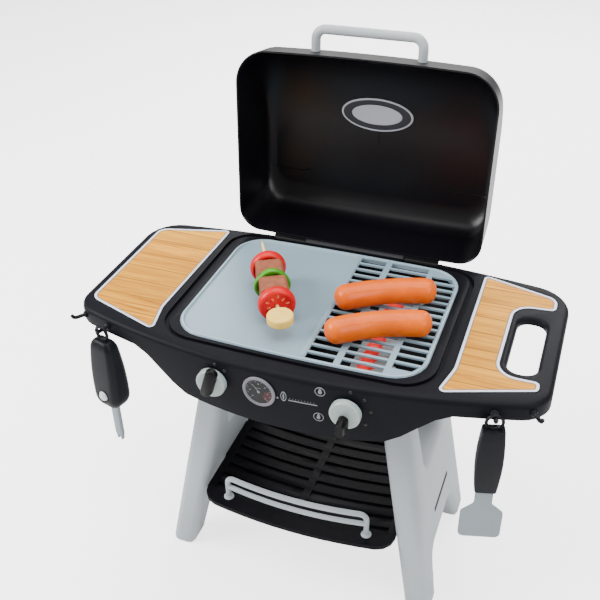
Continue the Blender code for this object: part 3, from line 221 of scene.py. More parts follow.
def feed(tree, node, values):
    # A value that is another node's socket is linked; any other is set on the input itself.
    for key, value in values.items():
        if isinstance(value, bpy.types.NodeSocket):
            tree.links.new(value, node.inputs[key])
        else:
            node.inputs[key].default_value = value


def addNode(tree, kind, values=None, **settings):
    made = tree.nodes.new("ShaderNode" + kind)
    for key, value in settings.items():
        setattr(made, key, value)
    feed(tree, made, values or {})
    return made.outputs


def mathNode(tree, operation, first, second=None):
    values = {0: first} if second is None else {0: first, 1: second}
    return addNode(tree, "Math", values, operation=operation)[0]


def rangeNode(tree, value, low, high, fromLow=0.0, fromHigh=1.0):
    return addNode(tree, "MapRange", {"Value": value, "From Min": fromLow, "From Max": fromHigh,
                                      "To Min": low, "To Max": high})[0]


def noiseNode(tree, where, scale, detail, roughness=0.5, distortion=0.0):
    return addNode(tree, "TexNoise", {"Vector": where, "Scale": scale, "Detail": detail,
                                      "Roughness": roughness, "Distortion": distortion})["Fac"]


def mixNode(tree, factor, first, second, blend="MIX"):
    # Inputs 6 and 7 and output 2 are the Mix node's colours.
    return addNode(tree, "Mix", {"Factor": factor, 6: first, 7: second}, data_type="RGBA",
                   blend_type=blend)[2]


def bumpNode(tree, height, strength, distance):
    return addNode(tree, "Bump", {"Height": height, "Strength": strength, "Distance": distance})["Normal"]


def newGroup(name, scalars, outputs):
    # A group takes a Vector and its scalars, name to default; outputs are name to socket type.
    group = bpy.data.node_groups.new(name, "ShaderNodeTree")
    newSocket = group.interface.new_socket
    newSocket(name="Vector", in_out="INPUT", socket_type="NodeSocketVector")
    for key, default in scalars.items():
        newSocket(name=key, in_out="INPUT", socket_type="NodeSocketFloat").default_value = default
    for key, kind in outputs.items():
        newSocket(name=key, in_out="OUTPUT", socket_type="NodeSocket" + kind)
    return group, group.nodes.new("NodeGroupInput").outputs, group.nodes.new("NodeGroupOutput")


def mouldSkinGroup():
    # Mottle: slow tone changes. Height: the fine peel of the mould. Scuff: dull marks stretched one way.
    group, source, result = newGroup("mouldSkin", {"Peel Scale": 700.0, "Mottle Scale": 9.0},
                                     {"Mottle": "Float", "Height": "Float", "Scuff": "Float"})
    where = source["Vector"]
    stretched = addNode(group, "Mapping", {"Vector": where, "Scale": (1.0, 7.0, 7.0),
                                           "Rotation": (0.2, 0.3, 0.5)})[0]
    marks = noiseNode(group, stretched, 42.0, 5.0, 0.7)
    feed(group, result, {"Mottle": noiseNode(group, where, source["Mottle Scale"], 4.0, 0.6),
                         "Height": noiseNode(group, where, source["Peel Scale"], 3.0, 0.55),
                         "Scuff": rangeNode(group, marks, 0.0, 1.0, 0.52, 0.78)})
    return group


def woodGrainGroup():
    # Planks run along X. Each plank has its own tone and offset; streaks are noise stretched along X.
    group, source, result = newGroup("woodGrain", {"Plank": 0.040},
                                     {"Color": "Color", "Height": "Float", "Streak": "Float"})
    split = addNode(group, "SeparateXYZ", {0: source["Vector"]})
    across = mathNode(group, "DIVIDE", split["Y"], source["Plank"])
    plankTone = addNode(group, "TexWhiteNoise", {"W": mathNode(group, "FLOOR", across)},
                        noise_dimensions="1D")["Value"]
    shiftedX = mathNode(group, "ADD", split["X"], mathNode(group, "MULTIPLY", plankTone, 3.0))
    where = addNode(group, "CombineXYZ", {"X": shiftedX, "Y": split["Y"], "Z": plankTone})[0]

    def streaks(scale, *settings):
        stretched = addNode(group, "Mapping", {"Vector": where, "Scale": scale})[0]
        return noiseNode(group, stretched, 1.0, *settings)

    figure = streaks((4.0, 85.0, 1.0), 6.0, 0.66, 1.2)
    fine = streaks((22.0, 620.0, 1.0), 4.0, 0.7)
    ramp = group.nodes.new("ShaderNodeValToRGB")
    stops = ramp.color_ramp.elements
    stops.new(0.46)
    colours = ((0.40, 0.130, 0.008, 1), (0.69, 0.280, 0.014, 1), (0.90, 0.420, 0.030, 1))
    for stop, position, colour in zip(stops, (0.32, 0.46, 0.66), colours):
        stop.position = position
        stop.color = colour
    feed(group, ramp, {"Fac": figure})
    inPlank = mathNode(group, "SUBTRACT", mathNode(group, "FRACT", across), 0.5)
    joint = rangeNode(group, mathNode(group, "ABSOLUTE", inPlank), 1.0, 0.50, 0.455, 0.490)
    tone = mathNode(group, "MULTIPLY", rangeNode(group, plankTone, 0.80, 1.10),
                    rangeNode(group, fine, 0.80, 1.08, 0.30, 0.72))
    tone = mathNode(group, "MULTIPLY", tone, joint)
    grey = addNode(group, "CombineColor", {"Red": tone, "Green": tone, "Blue": tone})["Color"]
    feed(group, result, {"Color": mixNode(group, 1.0, ramp.outputs["Color"], grey, "MULTIPLY"),
                         "Height": mathNode(group, "MULTIPLY", fine, joint), "Streak": fine})
    return group


mouldSkin = mouldSkinGroup()
woodGrain = woodGrainGroup()


def newMaterial(name):
    made = bpy.data.materials.new(name)
    made.use_nodes = True
    tree = made.node_tree
    return made, tree, tree.nodes["Principled BSDF"], addNode(tree, "TexCoord")["Object"]


def plastic(name, colour, roughness, peel=0.10, shine=0.30, peelScale=700, mottle=0.10, mottleScale=9,
            scuff=0.06, coat=0.0, glow=0.0, second=None):
    # Moulded plastic: a colour that drifts a little, a fine peel in the surface and a few dull scuffs.
    made, tree, shader, where = newMaterial(name)
    skin = addNode(tree, "Group", {"Vector": where, "Peel Scale": peelScale, "Mottle Scale": mottleScale},
                   node_tree=mouldSkin)
    low = tuple(channel * (1 - mottle) for channel in colour)
    high = second or tuple(min(channel * (1 + mottle), 1.0) for channel in colour)
    tones = mixNode(tree, rangeNode(tree, skin["Mottle"], 0.0, 1.0, 0.3, 0.7), (*low, 1), (*high, 1))
    feed(tree, shader, {"Base Color": tones, "Normal": bumpNode(tree, skin["Height"], peel, 0.0006),
                        "Roughness": rangeNode(tree, skin["Scuff"], roughness, min(roughness + scuff, 1.0)),
                        "Specular IOR Level": shine, "Coat Weight": coat, "Coat Roughness": 0.12})
    # glow: painted light, the surface gives off light in its own tones though the part is no lamp.
    if glow:
        feed(tree, shader, {"Emission Color": tones, "Emission Strength": glow})
    return made


def woodMaterial():
    made, tree, shader, where = newMaterial("panelWood")
    grain = addNode(tree, "Group", {"Vector": where}, node_tree=woodGrain)
    feed(tree, shader, {"Base Color": grain["Color"], "Specular IOR Level": 0.12,
                        "Roughness": rangeNode(tree, grain["Streak"], 0.38, 0.52),
                        "Normal": bumpNode(tree, grain["Height"], 0.18, 0.0004)})
    return made


# name, colour, roughness, peel, shine, and what else differs from plastic's own values
finishes = {
    "deck": plastic("deckBlack", (0.0068, 0.0069, 0.0094), 0.44, 0.14, 0.07, peelScale=900, scuff=0.10),
    "under": plastic("underBlack", (0.006, 0.006, 0.007), 0.50, 0.14, 0.15),
    # Darker than the deck's black: painted shade from the deck above.
    "shelf": plastic("shelfBlackPaintedShade", (0.0042, 0.0040, 0.0056), 0.44, 0.14, 0.06, scuff=0.12),
    "dot": plastic("dotBlack", (0.010, 0.0105, 0.012), 0.36, 0.05),
    "lid": plastic("lidGloss", (0.0022, 0.0020, 0.0036), 0.34, 0.02, 0.36, peelScale=300, scuff=0.04),
    "lidOut": plastic("lidHandleSilver", (0.42, 0.45, 0.47), 0.30, 0.05),
    "frame": plastic("frameGrey", (0.43, 0.47, 0.49), 0.44, 0.14, 0.25, mottle=0.04, mottleScale=5),
    "rail": plastic("railGrey", (0.40, 0.44, 0.46), 0.36, 0.06, mottle=0.04),
    "grate": plastic("grateBlueGrey", (0.235, 0.335, 0.395), 0.34, 0.08, mottle=0.05, mottleScale=6,
                     scuff=0.14),
    # Lighter than the grate: painted highlight on the rim bead and the divider; its lower roughness and its
    # coat are gloss.
    "paintedHighlightBead": plastic("paintedHighlightBeadBlueGrey", (0.265, 0.37, 0.43), 0.24, 0.04, 0.45, mottle=0.05,
                         mottleScale=6, scuff=0.08, coat=0.6),
    "trim": plastic("trimSilver", (0.66, 0.70, 0.80), 0.28, 0.04, 0.50, mottle=0.04),
    "trimLine": plastic("trimLineGrey", (0.10, 0.10, 0.11), 0.45),
    "ridge": plastic("ridgeGrey", (0.022, 0.0225, 0.025), 0.55, 0.8, 0.2, peelScale=160, scuff=0.3),
    "knob": plastic("knobPearl", (0.32, 0.38, 0.365), 0.22, 0.05, mottle=0.14, mottleScale=40,
                    coat=0.35),
    "grip": plastic("gripBlack", (0.004, 0.0035, 0.004), 0.34, 0.06, 0.12),
    "tool": plastic("toolBlack", (0.0056, 0.0058, 0.0085), 0.40, 0.14, 0.13, scuff=0.12),
    "blade": plastic("bladeGrey", (0.25, 0.29, 0.315), 0.34, 0.06),
    "stud": plastic("studPearl", (0.62, 0.68, 0.67), 0.28, 0.04, coat=0.10),
    "screw": plastic("screwSteel", (0.45, 0.45, 0.46), 0.32, 0.05, scuff=0.2),
    # The coals glow by emission: painted light, they are no lamp.
    "coal": plastic("coalRedPaintedGlow", (0.95, 0.020, 0.020), 0.30, 0.3, 0.5, peelScale=160, mottle=0.5,
                    mottleScale=70, glow=0.45),
    "coalTray": plastic("coalTrayGrey", (0.34, 0.35, 0.36), 0.45),
    "print": plastic("printSilver", (0.20, 0.21, 0.23), 0.45, 0.02),
    "dial": plastic("dialBlack", (0.005, 0.005, 0.006), 0.30, 0.03, 0.25),
    "zone": plastic("dialRed", (0.055, 0.010, 0.013), 0.32, 0.03, 0.25),
    "ring": plastic("dialRing", (0.165, 0.160, 0.185), 0.28, 0.03, coat=0.1),
    "badge": plastic("badgeSilver", (0.52, 0.54, 0.61), 0.34, 0.04, mottle=0.08),
    "badgeBand": plastic("badgeBand", (0.040, 0.042, 0.052), 0.38, 0.04, 0.2),
    "sausage": plastic("sausageOrange", (0.82, 0.115, 0.0003), 0.34, 0.08, 0.10, peelScale=260, mottle=0.14,
                       mottleScale=26, coat=0.25, second=(0.92, 0.155, 0.0006)),
    "tomato": plastic("tomatoRed", (0.66, 0.002, 0.006), 0.32, 0.08, 0.25, peelScale=200, mottle=0.14,
                      mottleScale=45, coat=0.08),
    "seed": plastic("seedPink", (0.85, 0.20, 0.08), 0.34, 0.05, coat=0.2),
    "meat": plastic("meatBrown", (0.27, 0.085, 0.042), 0.52, 0.45, peelScale=240, mottle=0.22,
                    mottleScale=90),
    "pepper": plastic("pepperGreen", (0.060, 0.30, 0.010), 0.32, 0.08, mottle=0.18, mottleScale=60,
                      coat=0.2),
    "potato": plastic("potatoCream", (0.98, 0.60, 0.11), 0.50, 0.16, 0.08, peelScale=240, mottle=0.06,
                      mottleScale=80, second=(1.0, 0.72, 0.18)),
    "stick": plastic("stickCream", (0.86, 0.64, 0.30), 0.48),
    "wood": woodMaterial(),
}
print("stage: materials made:", len(finishes))


# Deck and stand

deck = {"centre": np.array((0.0, -0.0378, 0.48)), "half": 0.36, "front": 0.1317, "frontBow": 0.0583}


def apronAt(x):
    # The apron's face: front edge depth plus a parabola of x.
    return -(deck["front"] + deck["frontBow"] * (1 - (x / deck["half"]) ** 2))


def onApron(points, out):
    # Points (x, z) laid on the apron's curved face, standing proud by out.
    points = np.asarray(points, float)
    return columns(points[:, 0], apronAt(points[:, 0]) - out, points[:, 1]) + deck["centre"]


def apronAxes(turn):
    # Across, up and out of the apron where its face is turned by this angle.
    return (np.cos(turn), np.sin(turn), 0), (0, 0, 1), (np.sin(turn), -np.cos(turn), 0)


# finish, broken edge in mm, sharp angle, nodes
for finish, edge, sharp, nodes in (
        ("deck", 0.7, 38, ("deck_tray",)),
        ("under", 0, 38, ("fire_bowl",)),
        # the shelf's finish is darker than the deck's: painted shade
        ("shelf", 0.8, 38, ("lower_shelf",)),
        ("frame", 0, 50, ("left_side_frame", "right_side_frame")),
        ("tool", 0.3, 60, ("left_inner_hook", "left_outer_hook", "right_inner_hook", "right_outer_hook")),
        ("under", 0.4, 38, ("left_lid_bracket", "right_lid_bracket")),
        ("tool", 0.2, 38, ("left_hinge_pin", "right_hinge_pin")),
        ("screw", 0.2, 38, ("left_knob_clip", "right_knob_clip", "left_front_leg_screw",
                            "left_rear_leg_screw", "right_front_leg_screw", "right_rear_leg_screw")),
        ("coalTray", 0.5, 38, ("coal_tray",)),
        # the coals' finish glows: painted light
        ("coal", 0, 70, ("glowing_coals",)),
        ("grate", 0.5, 38, ("cooking_grate",))):
    for node in nodes:
        softened(node, finish, edge * mm, sharp)

strip = {"y": 0.162, "z": -0.004, "radius": 0.00695, "foot": 0.0003, "reach": 0.004, "half": 0.0857}
arcStart = np.pi - np.arcsin((strip["foot"] - strip["z"]) / strip["radius"])
arc = np.linspace(arcStart, np.pi / 2, 14)
farY = strip["y"] + strip["reach"]
section = np.vstack((arcOf(arc, strip["radius"], strip["y"], strip["z"]),
                     [(farY, strip["z"] + strip["radius"]), (farY, strip["foot"])]))
stations = np.linspace(-strip["half"], strip["half"], 40)
rows = np.array([columns(np.full(len(section), x), section) for x in stations])
newPiece("hingeRidge", "hinge_strip", "ridge", gridShape(rows + deck["centre"]), sharp=50)

# The grate's border is a rounded bead.
grateRim = {"half": 0.191, "depth": 0.143, "corner": 0.048, "bows": (0.006, 0.004), "outer": 0.0012,
            "inner": 0.0060, "top": 0.0012, "crown": 0.0013, "low": 0.0002}
sweep = turns(0, 180, 13)
insets = grateRim["outer"] + (grateRim["inner"] - grateRim["outer"]) * (1 - np.cos(sweep)) / 2
heights = grateRim["top"] + grateRim["crown"] * np.sin(sweep)
rows = []
for inset, height in zip(np.append(insets, (grateRim["inner"], grateRim["outer"])),
                         np.append(heights, (grateRim["low"], grateRim["low"]))):
    depth, corner = grateRim["depth"] - inset, grateRim["corner"] - inset
    outline = trayOutline(grateRim["half"] - inset, depth, depth, corner, corner, *grateRim["bows"])
    rows.append(withHeight(outline, height))
# The bead and the divider take the lighter finish: painted highlight.
newPiece("grateRim", "cooking_grate", "paintedHighlightBead", gridShape(np.array(rows) + deck["centre"], wrapAlong=True),
         sharp=60, replaced=False)
divider = {"x": 0.0173, "half": 0.0040, "near": -0.1405, "far": 0.1385, "crown": 0.0010}
crest = arcOf(turns(180, 0, 11), divider["half"], divider["x"], grateRim["top"], divider["crown"])
section = np.vstack((crest, [(divider["x"] + divider["half"], grateRim["low"]),
                             (divider["x"] - divider["half"], grateRim["low"])]))
rows = np.array([columns(section[:, 0], np.full(len(section), y), section[:, 1])
                 for y in np.linspace(divider["near"], divider["far"], 30)])
newPiece("grateDivider", "cooking_grate", "paintedHighlightBead", gridShape(rows + deck["centre"]), sharp=60,
         replaced=False)
print("stage: stand finished")


# Wood inlays and trims

inlay = {
    "right": [(0.2100, -0.1560, 0.009), (0.3425, -0.1090, 0.0093), (0.3425, -0.0865, 0.010),
              (0.2835, -0.0870, 0.026), (0.2835, 0.0790, 0.026), (0.3425, 0.0855, 0.010),
              (0.3425, 0.121, 0.022), (0.2215, 0.1545, 0.009), (0.2240, -0.095, 0.060)],
    "left": [(-0.2240, -0.095, 0.060), (-0.2215, 0.1545, 0.009), (-0.3475, 0.121, 0.022),
             (-0.3475, -0.1085, 0.022), (-0.2100, -0.1560, 0.009)],
    "width": 0.0085,
    # share of the width, height in mm: black lip, silver bead, dark line
    "Lip": [(0, -2.6), (0, 0.04), (0.02, 0.10), (0.20, 0.10), (0.20, -2.6)],
    "Bead": [(0.20, -2.6), (0.20, 0.10), (0.22, 0.30), (0.28, 0.48), (0.42, 0.58), (0.56, 0.48), (0.64, 0.28),
             (0.67, 0.05), (0.67, -2.6)],
    "Line": [(0.67, -2.6), (0.67, 0.02), (0.80, 0.02), (0.80, -2.6)],
    "woodShare": 0.80, "woodLow": -2.6, "woodEdge": 0.3,
}


def inlayRing(side, share, height):
    return withHeight(filleted(inlay[side], share * inlay["width"]), height * mm) + deck["centre"]


for side in ("left", "right"):
    for word, node, finish, replaced in (("Bead", side + "_panel_trim", "trim", True),
                                         ("Lip", "deck_tray", "deck", False),
                                         ("Line", side + "_panel_trim", "trimLine", False)):
        rows = [inlayRing(side, share, height) for share, height in inlay[word]]
        newPiece(side + "Trim" + word, node, finish, gridShape(rows, wrapAlong=True), sharp=50,
                 replaced=replaced)
    edgeShare = inlay["woodEdge"] * mm / inlay["width"]
    rows = [inlayRing(side, inlay["woodShare"], inlay["woodLow"]),
            inlayRing(side, inlay["woodShare"], -inlay["woodEdge"]),
            inlayRing(side, inlay["woodShare"] + edgeShare, 0.0)]
    newPiece(side + "Wood", side + "_wood_panel", "wood", gridShape(rows), sharp=30)
print("stage: inlays finished")


# Guard rail: a bent bar with feet, and a lower bar

rail = {"x": 0.1205, "y": -0.1360, "bow": 0.0110, "foot": -0.3397, "top": -0.2942, "gap": 0.021,
        "radius": 0.0045, "lowerRadius": 0.0042, "bend": 0.012, "flange": 0.0085}


def railPath(x, z):
    # The bar bows forward by a parabola of x.
    return columns(x, rail["y"] - rail["bow"] * (1 - (x / rail["x"]) ** 2), z) + deck["centre"]


reach, bendZ = rail["x"] - rail["bend"], rail["top"] - rail["bend"]
left = np.vstack((columns(np.full(6, -rail["x"]), np.linspace(rail["foot"], bendZ, 7)[:-1]),
                  arcOf(turns(180, 90, 9), rail["bend"], -reach, bendZ)))
straight = columns(np.linspace(-reach, reach, 30)[1:-1], np.full(28, rail["top"]))
upperPath = railPath(*np.vstack((left, straight, left[::-1] * (-1, 1))).T)
lowerPath = railPath(np.linspace(-rail["x"], rail["x"], 30), np.full(30, rail["top"] - rail["gap"]))
footProfile = [(0.0, 0.0), (rail["flange"], 0.0), (rail["flange"], 0.0012), (0.0065, 0.0022),
               (0.0052, 0.0045), (0.0, 0.0045)]
feet = railPath(np.array((-rail["x"], rail["x"])), np.full(2, rail["foot"]))
newPiece("guardRail", "shelf_rail", "rail", tubeShape(upperPath, rail["radius"], 18),
         tubeShape(lowerPath, rail["lowerRadius"], 18),
         *(placed(latheShape(footProfile, 24, capEnds=False), foot) for foot in feet), sharp=50)
print("stage: rail finished")


# Lid

lid = {"half": 0.2092, "front": 0.1545, "back": 0.1505, "frontBow": 0.005, "backBow": 0.003,
       "frontCorner": 0.052, "backCorner": 0.036, "cornerShare": 0.48, "wall": 0.0025, "rim": -0.003,
       "rimRound": 0.0006, "top": 0.11745, "hinge": np.array((0, 0.162, -0.004)), "open": np.radians(94.2),
       "side": (0.006, 0.018), "rear": (0.007, 0.042), "noseDraft": 0.009, "noseReach": 0.138,
       "noseRise": 0.079, "noseRoundness": 2, "rings": 40, "roofShares": (0.72, 0.45, 0.2)}


def wallInset(wall, height, full, thinner):
    # Straight draft, then a quarter-round shoulder.
    draft, radius = lid[wall][0], lid[wall][1] - thinner
    past = np.clip(height - (full - radius), 0, radius)
    return draft * height / full + radius - np.sqrt(radius * radius - past * past) + thinner


def noseInset(height, full, thinner):
    # The long curved front: a straight draft, then part of a superellipse.
    past = np.clip((height - (full - lid["noseRise"])) / lid["noseRise"], 0, 1)
    curve = (1 - past ** lid["noseRoundness"]) ** (1 / lid["noseRoundness"])
    return lid["noseDraft"] * height / full + lid["noseReach"] * (1 - curve) + thinner


def lidRing(height, full, thinner):
    side, back = (wallInset(wall, height, full, thinner) for wall in ("side", "rear"))
    front = noseInset(height, full, thinner)
    widest = (lid["front"] - front + lid["back"] - back) * lid["cornerShare"]
    outline = trayOutline(lid["half"] - side, lid["front"] - front, lid["back"] - back,
                          min(lid["frontCorner"] - thinner, widest), min(lid["backCorner"] - thinner, widest),
                          lid["frontBow"], lid["backBow"])
    return withHeight(outline, lid["rim"] + height)


def opened(points):
    # Closed-lid points turned back about the hinge to the rest pose.
    c, s = np.cos(lid["open"]), np.sin(lid["open"])
    turned = (points - lid["hinge"]) @ np.array(((1, 0, 0), (0, c, -s), (0, s, c)))
    return turned + lid["hinge"] + deck["centre"]


def roofRings(ring):
    # The ring drawn in towards its middle, a few times.
    centre = ring.mean(0)
    return [centre + (ring - centre) * np.array((share, share, 1)) for share in lid["roofShares"]]


outerFull = lid["top"] - lid["rim"]
innerFull = outerFull - lid["wall"]
heights = np.sin(turns(0, 90, lid["rings"]))
inner = [lidRing(height, innerFull, lid["wall"] / 2) for height in innerFull * heights[::-1]]
outer = [lidRing(height, outerFull, -lid["wall"] / 2) for height in outerFull * heights]
# The rim is rounded over by one ring between the two walls.
middle = (inner[-1] + outer[0]) / 2 - np.array((0, 0, lid["rimRound"]))
rows = opened(roofRings(inner[0])[::-1] + inner + [middle] + outer + roofRings(outer[-1]))
newPiece("lidDome", "lid_shell", "lid", gridShape(rows), sharp=60)
softened("lid_handle", "lidOut", 0, sharp=60)


def noseHeight(x, y):
    # The closed lid's inner front face: the height at which the front wall has come in to y.
    heights = np.linspace(0, innerFull, 400)
    insets = noseInset(heights, innerFull, lid["wall"] / 2)
    swell = lid["frontBow"] * (1 - (x / lid["half"]) ** 2)
    return lid["rim"] + np.interp(y + lid["front"] + swell, insets, heights)


badge = {"x": -0.0040, "y": -0.0395, "wide": 0.0625, "deep": 0.0290, "ovals": (
    # word, node it goes with, finish, narrower, shallower, low, high, rounded edge
    ("Plate", "lid_handle", "badge", 0.0, 0.0, 0.0002, 0.0022, 0.0008),
    ("Band", "lid_shell", "badgeBand", 0.0035, 0.0030, 0.0023, 0.0026, 0.0002),
    ("Centre", "lid_handle", "badge", 0.0187, 0.0115, 0.0027, 0.0033, 0.0004))}


def ovalShape(wide, deep, low, high, edge):
    # Oval plate that follows the lid's inner face, with a rounded rim and rings that run in to the middle.
    under = [(share, 0, low) for share in (0.08, 0.3, 0.55, 0.8)]
    rim = [(1, 0, low), (1, 0, high - edge), (1, edge * 0.3, high - edge * 0.3), (1, edge, high)]
    inward = [(share, edge, high) for share in (0.8, 0.55, 0.3, 0.08)]
    rows = []
    for share, inset, drop in under + rim + inward:
        oval = arcOf(fullTurn(96), (wide - inset) * share, badge["x"], badge["y"], (deep - inset) * share)
        rows.append(columns(oval, noseHeight(*oval.T) - drop))
    return gridShape(opened(rows))


for word, node, finish, narrower, shallower, *heights in badge["ovals"]:
    oval = ovalShape(badge["wide"] - narrower, badge["deep"] - shallower, *heights)
    newPiece("badge" + word, node, finish, oval, replaced=False)

# Two short raised seams round the lid's inner corners, and one under the badge
seam = {"y": 0.080, "low": 0.045, "hook": 0.006, "hookLength": 0.020, "inner": 0.120, "radius": 0.0011,
        "middleY": (-0.0065, 0.0145), "middleRadius": 0.0009}
climb = np.linspace(seam["low"], innerFull, 26)
sideX = lid["half"] - wallInset("side", climb, innerFull, lid["wall"] / 2)
seamX = np.concatenate((sideX, np.linspace(sideX[-1], seam["inner"], 16)[1:]))
seamZ = np.concatenate((lid["rim"] + climb, np.full(15, lid["top"] - lid["wall"])))
hookShare = np.clip((seam["inner"] + seam["hookLength"] - seamX) / seam["hookLength"], 0, 1)
seamY = seam["y"] - seam["hook"] * hookShare ** 2
middleY = np.linspace(*seam["middleY"], 8)
for word, path, radius in (("Left", columns(-seamX, seamY, seamZ), seam["radius"]),
                           ("Right", columns(seamX, seamY, seamZ), seam["radius"]),
                           ("Middle", columns(np.zeros(8), middleY, noseHeight(np.zeros(8), middleY)),
                            seam["middleRadius"])):
    newPiece("lidSeam" + word, "lid_shell", "lid", tubeShape(opened(path), radius, 10), sharp=70,
             replaced=False)
print("stage: lid finished")


# Knobs, gauge and prints on the apron

knob = {"x": 0.1004, "z": -0.0385, "radius": 0.0225, "standoff": 0.0028, "depth": 0.012, "edge": 0.0042,
        "crown": 0.0015, "chamfer": 0.0008, "spindle": 0.004, "collar": 0.0085, "collarAt": 0.0013,
        "tail": -0.0108, "gripGap": 0.0003}


def onKnob(side, shape):
    origin = np.array((side * knob["x"], apronAt(knob["x"]), knob["z"])) + deck["centre"]
    turn = np.radians(knobs[side]["turn"])
    c, s = np.cos(turn), np.sin(turn)
    return placed(shape, origin, (c, 0, s), (-s, 0, c), (0, -1, 0))


def knobProfile():
    back, front, radius = knob["standoff"], knob["standoff"] + knob["depth"], knob["radius"]
    body = [(knob["spindle"], knob["tail"]), (knob["spindle"], knob["collarAt"]),
            (knob["collar"], knob["collarAt"]), (knob["collar"], back), (radius - knob["chamfer"], back),
            (radius, back + knob["chamfer"])]
    flat = radius - knob["edge"]
    rim = arcOf(turns(0, 90, 9), knob["edge"], flat, front - knob["edge"])
    face = np.linspace(flat, 0.0005, 10)[1:]
    return np.vstack((body, rim, columns(face, front + knob["crown"] * (1 - (face / flat) ** 2))))


def gripShape(half, low, high, depth, taper, lean):
    # A bar with round ends that narrows as it stands out and rounds over at its crest; it leans by a share
    # of its height.
    base = knob["standoff"] + knob["depth"] + knob["crown"] + knob["gripGap"]
    rows = []
    for share, narrow in ((0, 0), (0.15, 0.05), (0.4, 0.14), (0.62, 0.26), (0.8, 0.44), (0.9, 0.62),
                          (0.96, 0.80), (1.0, 1.0)):
        radius = half - taper * narrow
        outline = np.vstack((arcOf(turns(180, 360, 18), radius, 0, low + half),
                             arcOf(turns(0, 180, 18), radius, 0, high - half)))
        outline[:, 0] += lean * (outline[:, 1] - (low + high) / 2)
        rows.append(withHeight(outline, base + depth * share))
    return gridShape(rows)


knobs = {-1: {"word": "left", "turn": -13, "grip": (0.0092, -0.0170, 0.0355, 0.0085, 0.0030, 0.07)},
         1: {"word": "right", "turn": 0, "grip": (0.0075, -0.0215, 0.0040, 0.019, 0.0024, 0.0)}}
for side, each in knobs.items():
    word = each["word"]
    newPiece(word + "KnobDisc", word + "_knob_disc", "knob", onKnob(side, latheShape(knobProfile(), 72)))
    newPiece(word + "KnobGrip", word + "_knob_grip", "grip", onKnob(side, gripShape(*each["grip"])), sharp=50)

gauge = {"x": -0.028, "z": -0.0375, "turn": -0.0593, "sunk": 0.0002, "radius": 0.0255, "face": 0.0205,
         "faceTop": 0.0008, "ringLow": 0.00096, "ringCrown": 0.0016, "needle": np.radians(128),
         "zone": (0.0085, 0.0196), "scale": (225, -45)}
gaugeOrigin = np.array((gauge["x"], apronAt(gauge["x"]) - gauge["sunk"], gauge["z"])) + deck["centre"]


def onGauge(shape):
    return placed(shape, gaugeOrigin, *apronAxes(gauge["turn"]))


ringHalf = (gauge["radius"] - gauge["face"]) / 2
ringProfile = np.vstack(([(gauge["face"] - 0.0002, 0.0004)],
                         arcOf(turns(180, 0, 13), ringHalf, gauge["radius"] - ringHalf, gauge["ringLow"],
                               gauge["ringCrown"]),
                         [(gauge["radius"], 0.0002)]))
newPiece("gaugeRing", "heat_gauge", "ring", onGauge(latheShape(ringProfile, 80, wrapAlong=True)))
faceProfile = [(0.0004, 0.0002), (gauge["face"], 0.0002), (gauge["face"], gauge["faceTop"]),
               (0.0004, gauge["faceTop"])]
newPiece("gaugeFace", "deck_tray", "dial", onGauge(latheShape(faceProfile)), replaced=False)


def rayAt(angle):
    return np.array((np.cos(angle), np.sin(angle)))


def barShape(a, b, halfWidth, high, low=gauge["faceTop"]):
    # A thin raised bar between two points of the gauge's face.
    across = (b - a)[::-1] * (-1, 1) / np.linalg.norm(b - a) * halfWidth
    outline = np.array((a - across, b - across, b + across, a + across))
    return onGauge(gridShape([withHeight(outline, low), withHeight(outline, high)]))


ticks = []
for index, angle in enumerate(turns(*gauge["scale"], 28)):
    length, halfWidth = (0.0030, 0.00028) if index % 3 == 0 else (0.0014, 0.00016)
    outer = gauge["face"] - 0.0010
    ticks.append(barShape((outer - length) * rayAt(angle), outer * rayAt(angle), halfWidth, 0.00095))
for angle in turns(*gauge["scale"], 7):  # small blocks stand for the numbers
    middle = (gauge["face"] - 0.0066) * rayAt(angle)
    ticks += [barShape(middle + (start, 0), middle + (start + 0.0008, 0), 0.0009, 0.00092)
              for start in (-0.0011, 0.0002)]
ticks.append(barShape(np.array((-0.0035, 0.0062)), np.array((0.0035, 0.0062)), 0.0004, 0.00092))
newPiece("gaugeTicks", "heat_gauge", "print", *ticks, replaced=False)
zoneTurn = turns(-55, 12, 24)
zone = np.vstack((arcOf(zoneTurn, gauge["zone"][0]), arcOf(zoneTurn, gauge["zone"][1])[::-1]))
zoneRows = [withHeight(zone, height) for height in (0.0006, 0.00086)]
newPiece("gaugeZone", "deck_tray", "zone", onGauge(gridShape(zoneRows)), replaced=False)
needle = rayAt(gauge["needle"])
hubProfile = [(0.0002, 0.0008), (0.0022, 0.0008), (0.0021, 0.0018), (0.0014, 0.0023), (0.0002, 0.0025)]
needleBar = barShape(-0.003 * needle, 0.0130 * needle, 0.00045, 0.0015, 0.0010)
newPiece("gaugeNeedle", "heat_gauge", "print", needleBar, onGauge(latheShape(hubProfile, 28)), replaced=False)

prints = {"proud": 0.00045, "sunk": 0.0002, "iconRadius": 0.0076, "iconLine": 0.0011, "flameShare": 0.72,
          "icons": [(0.0624, -0.0140), (0.0602, -0.0601)], "lineStart": (-0.0040, -0.0408),
          "lineEnd": (0.0585, -0.0397), "lineSkip": 0.020, "bulb": (0.0091, -0.0358)}


def printShape(outline):
    # A flat outline laid on the apron and given a hair of thickness.
    return gridShape([onApron(outline, -prints["sunk"]), onApron(outline, prints["proud"])])


def printRing(x, z, outer, inner, stretch=1.0):
    low, high = -prints["sunk"], prints["proud"]
    section = ((inner, low), (inner, high), (outer, high), (outer, low))
    return gridShape([onApron(arcOf(fullTurn(48), r * stretch, x, z, r), out) for r, out in section],
                     wrapAlong=True)


def flameOutline(x, z, size):
    # Three tongues: radius swings with the angle and leans to one side at the tip.
    turn = fullTurn(60)
    lift = np.clip(np.sin(turn), 0, 1)
    r = size * (0.62 + 0.30 * lift ** 2 + 0.20 * lift * np.cos(3 * (turn - np.pi / 2)))
    return arcOf(turn, r * 0.82, x, z - size * 0.12, r)


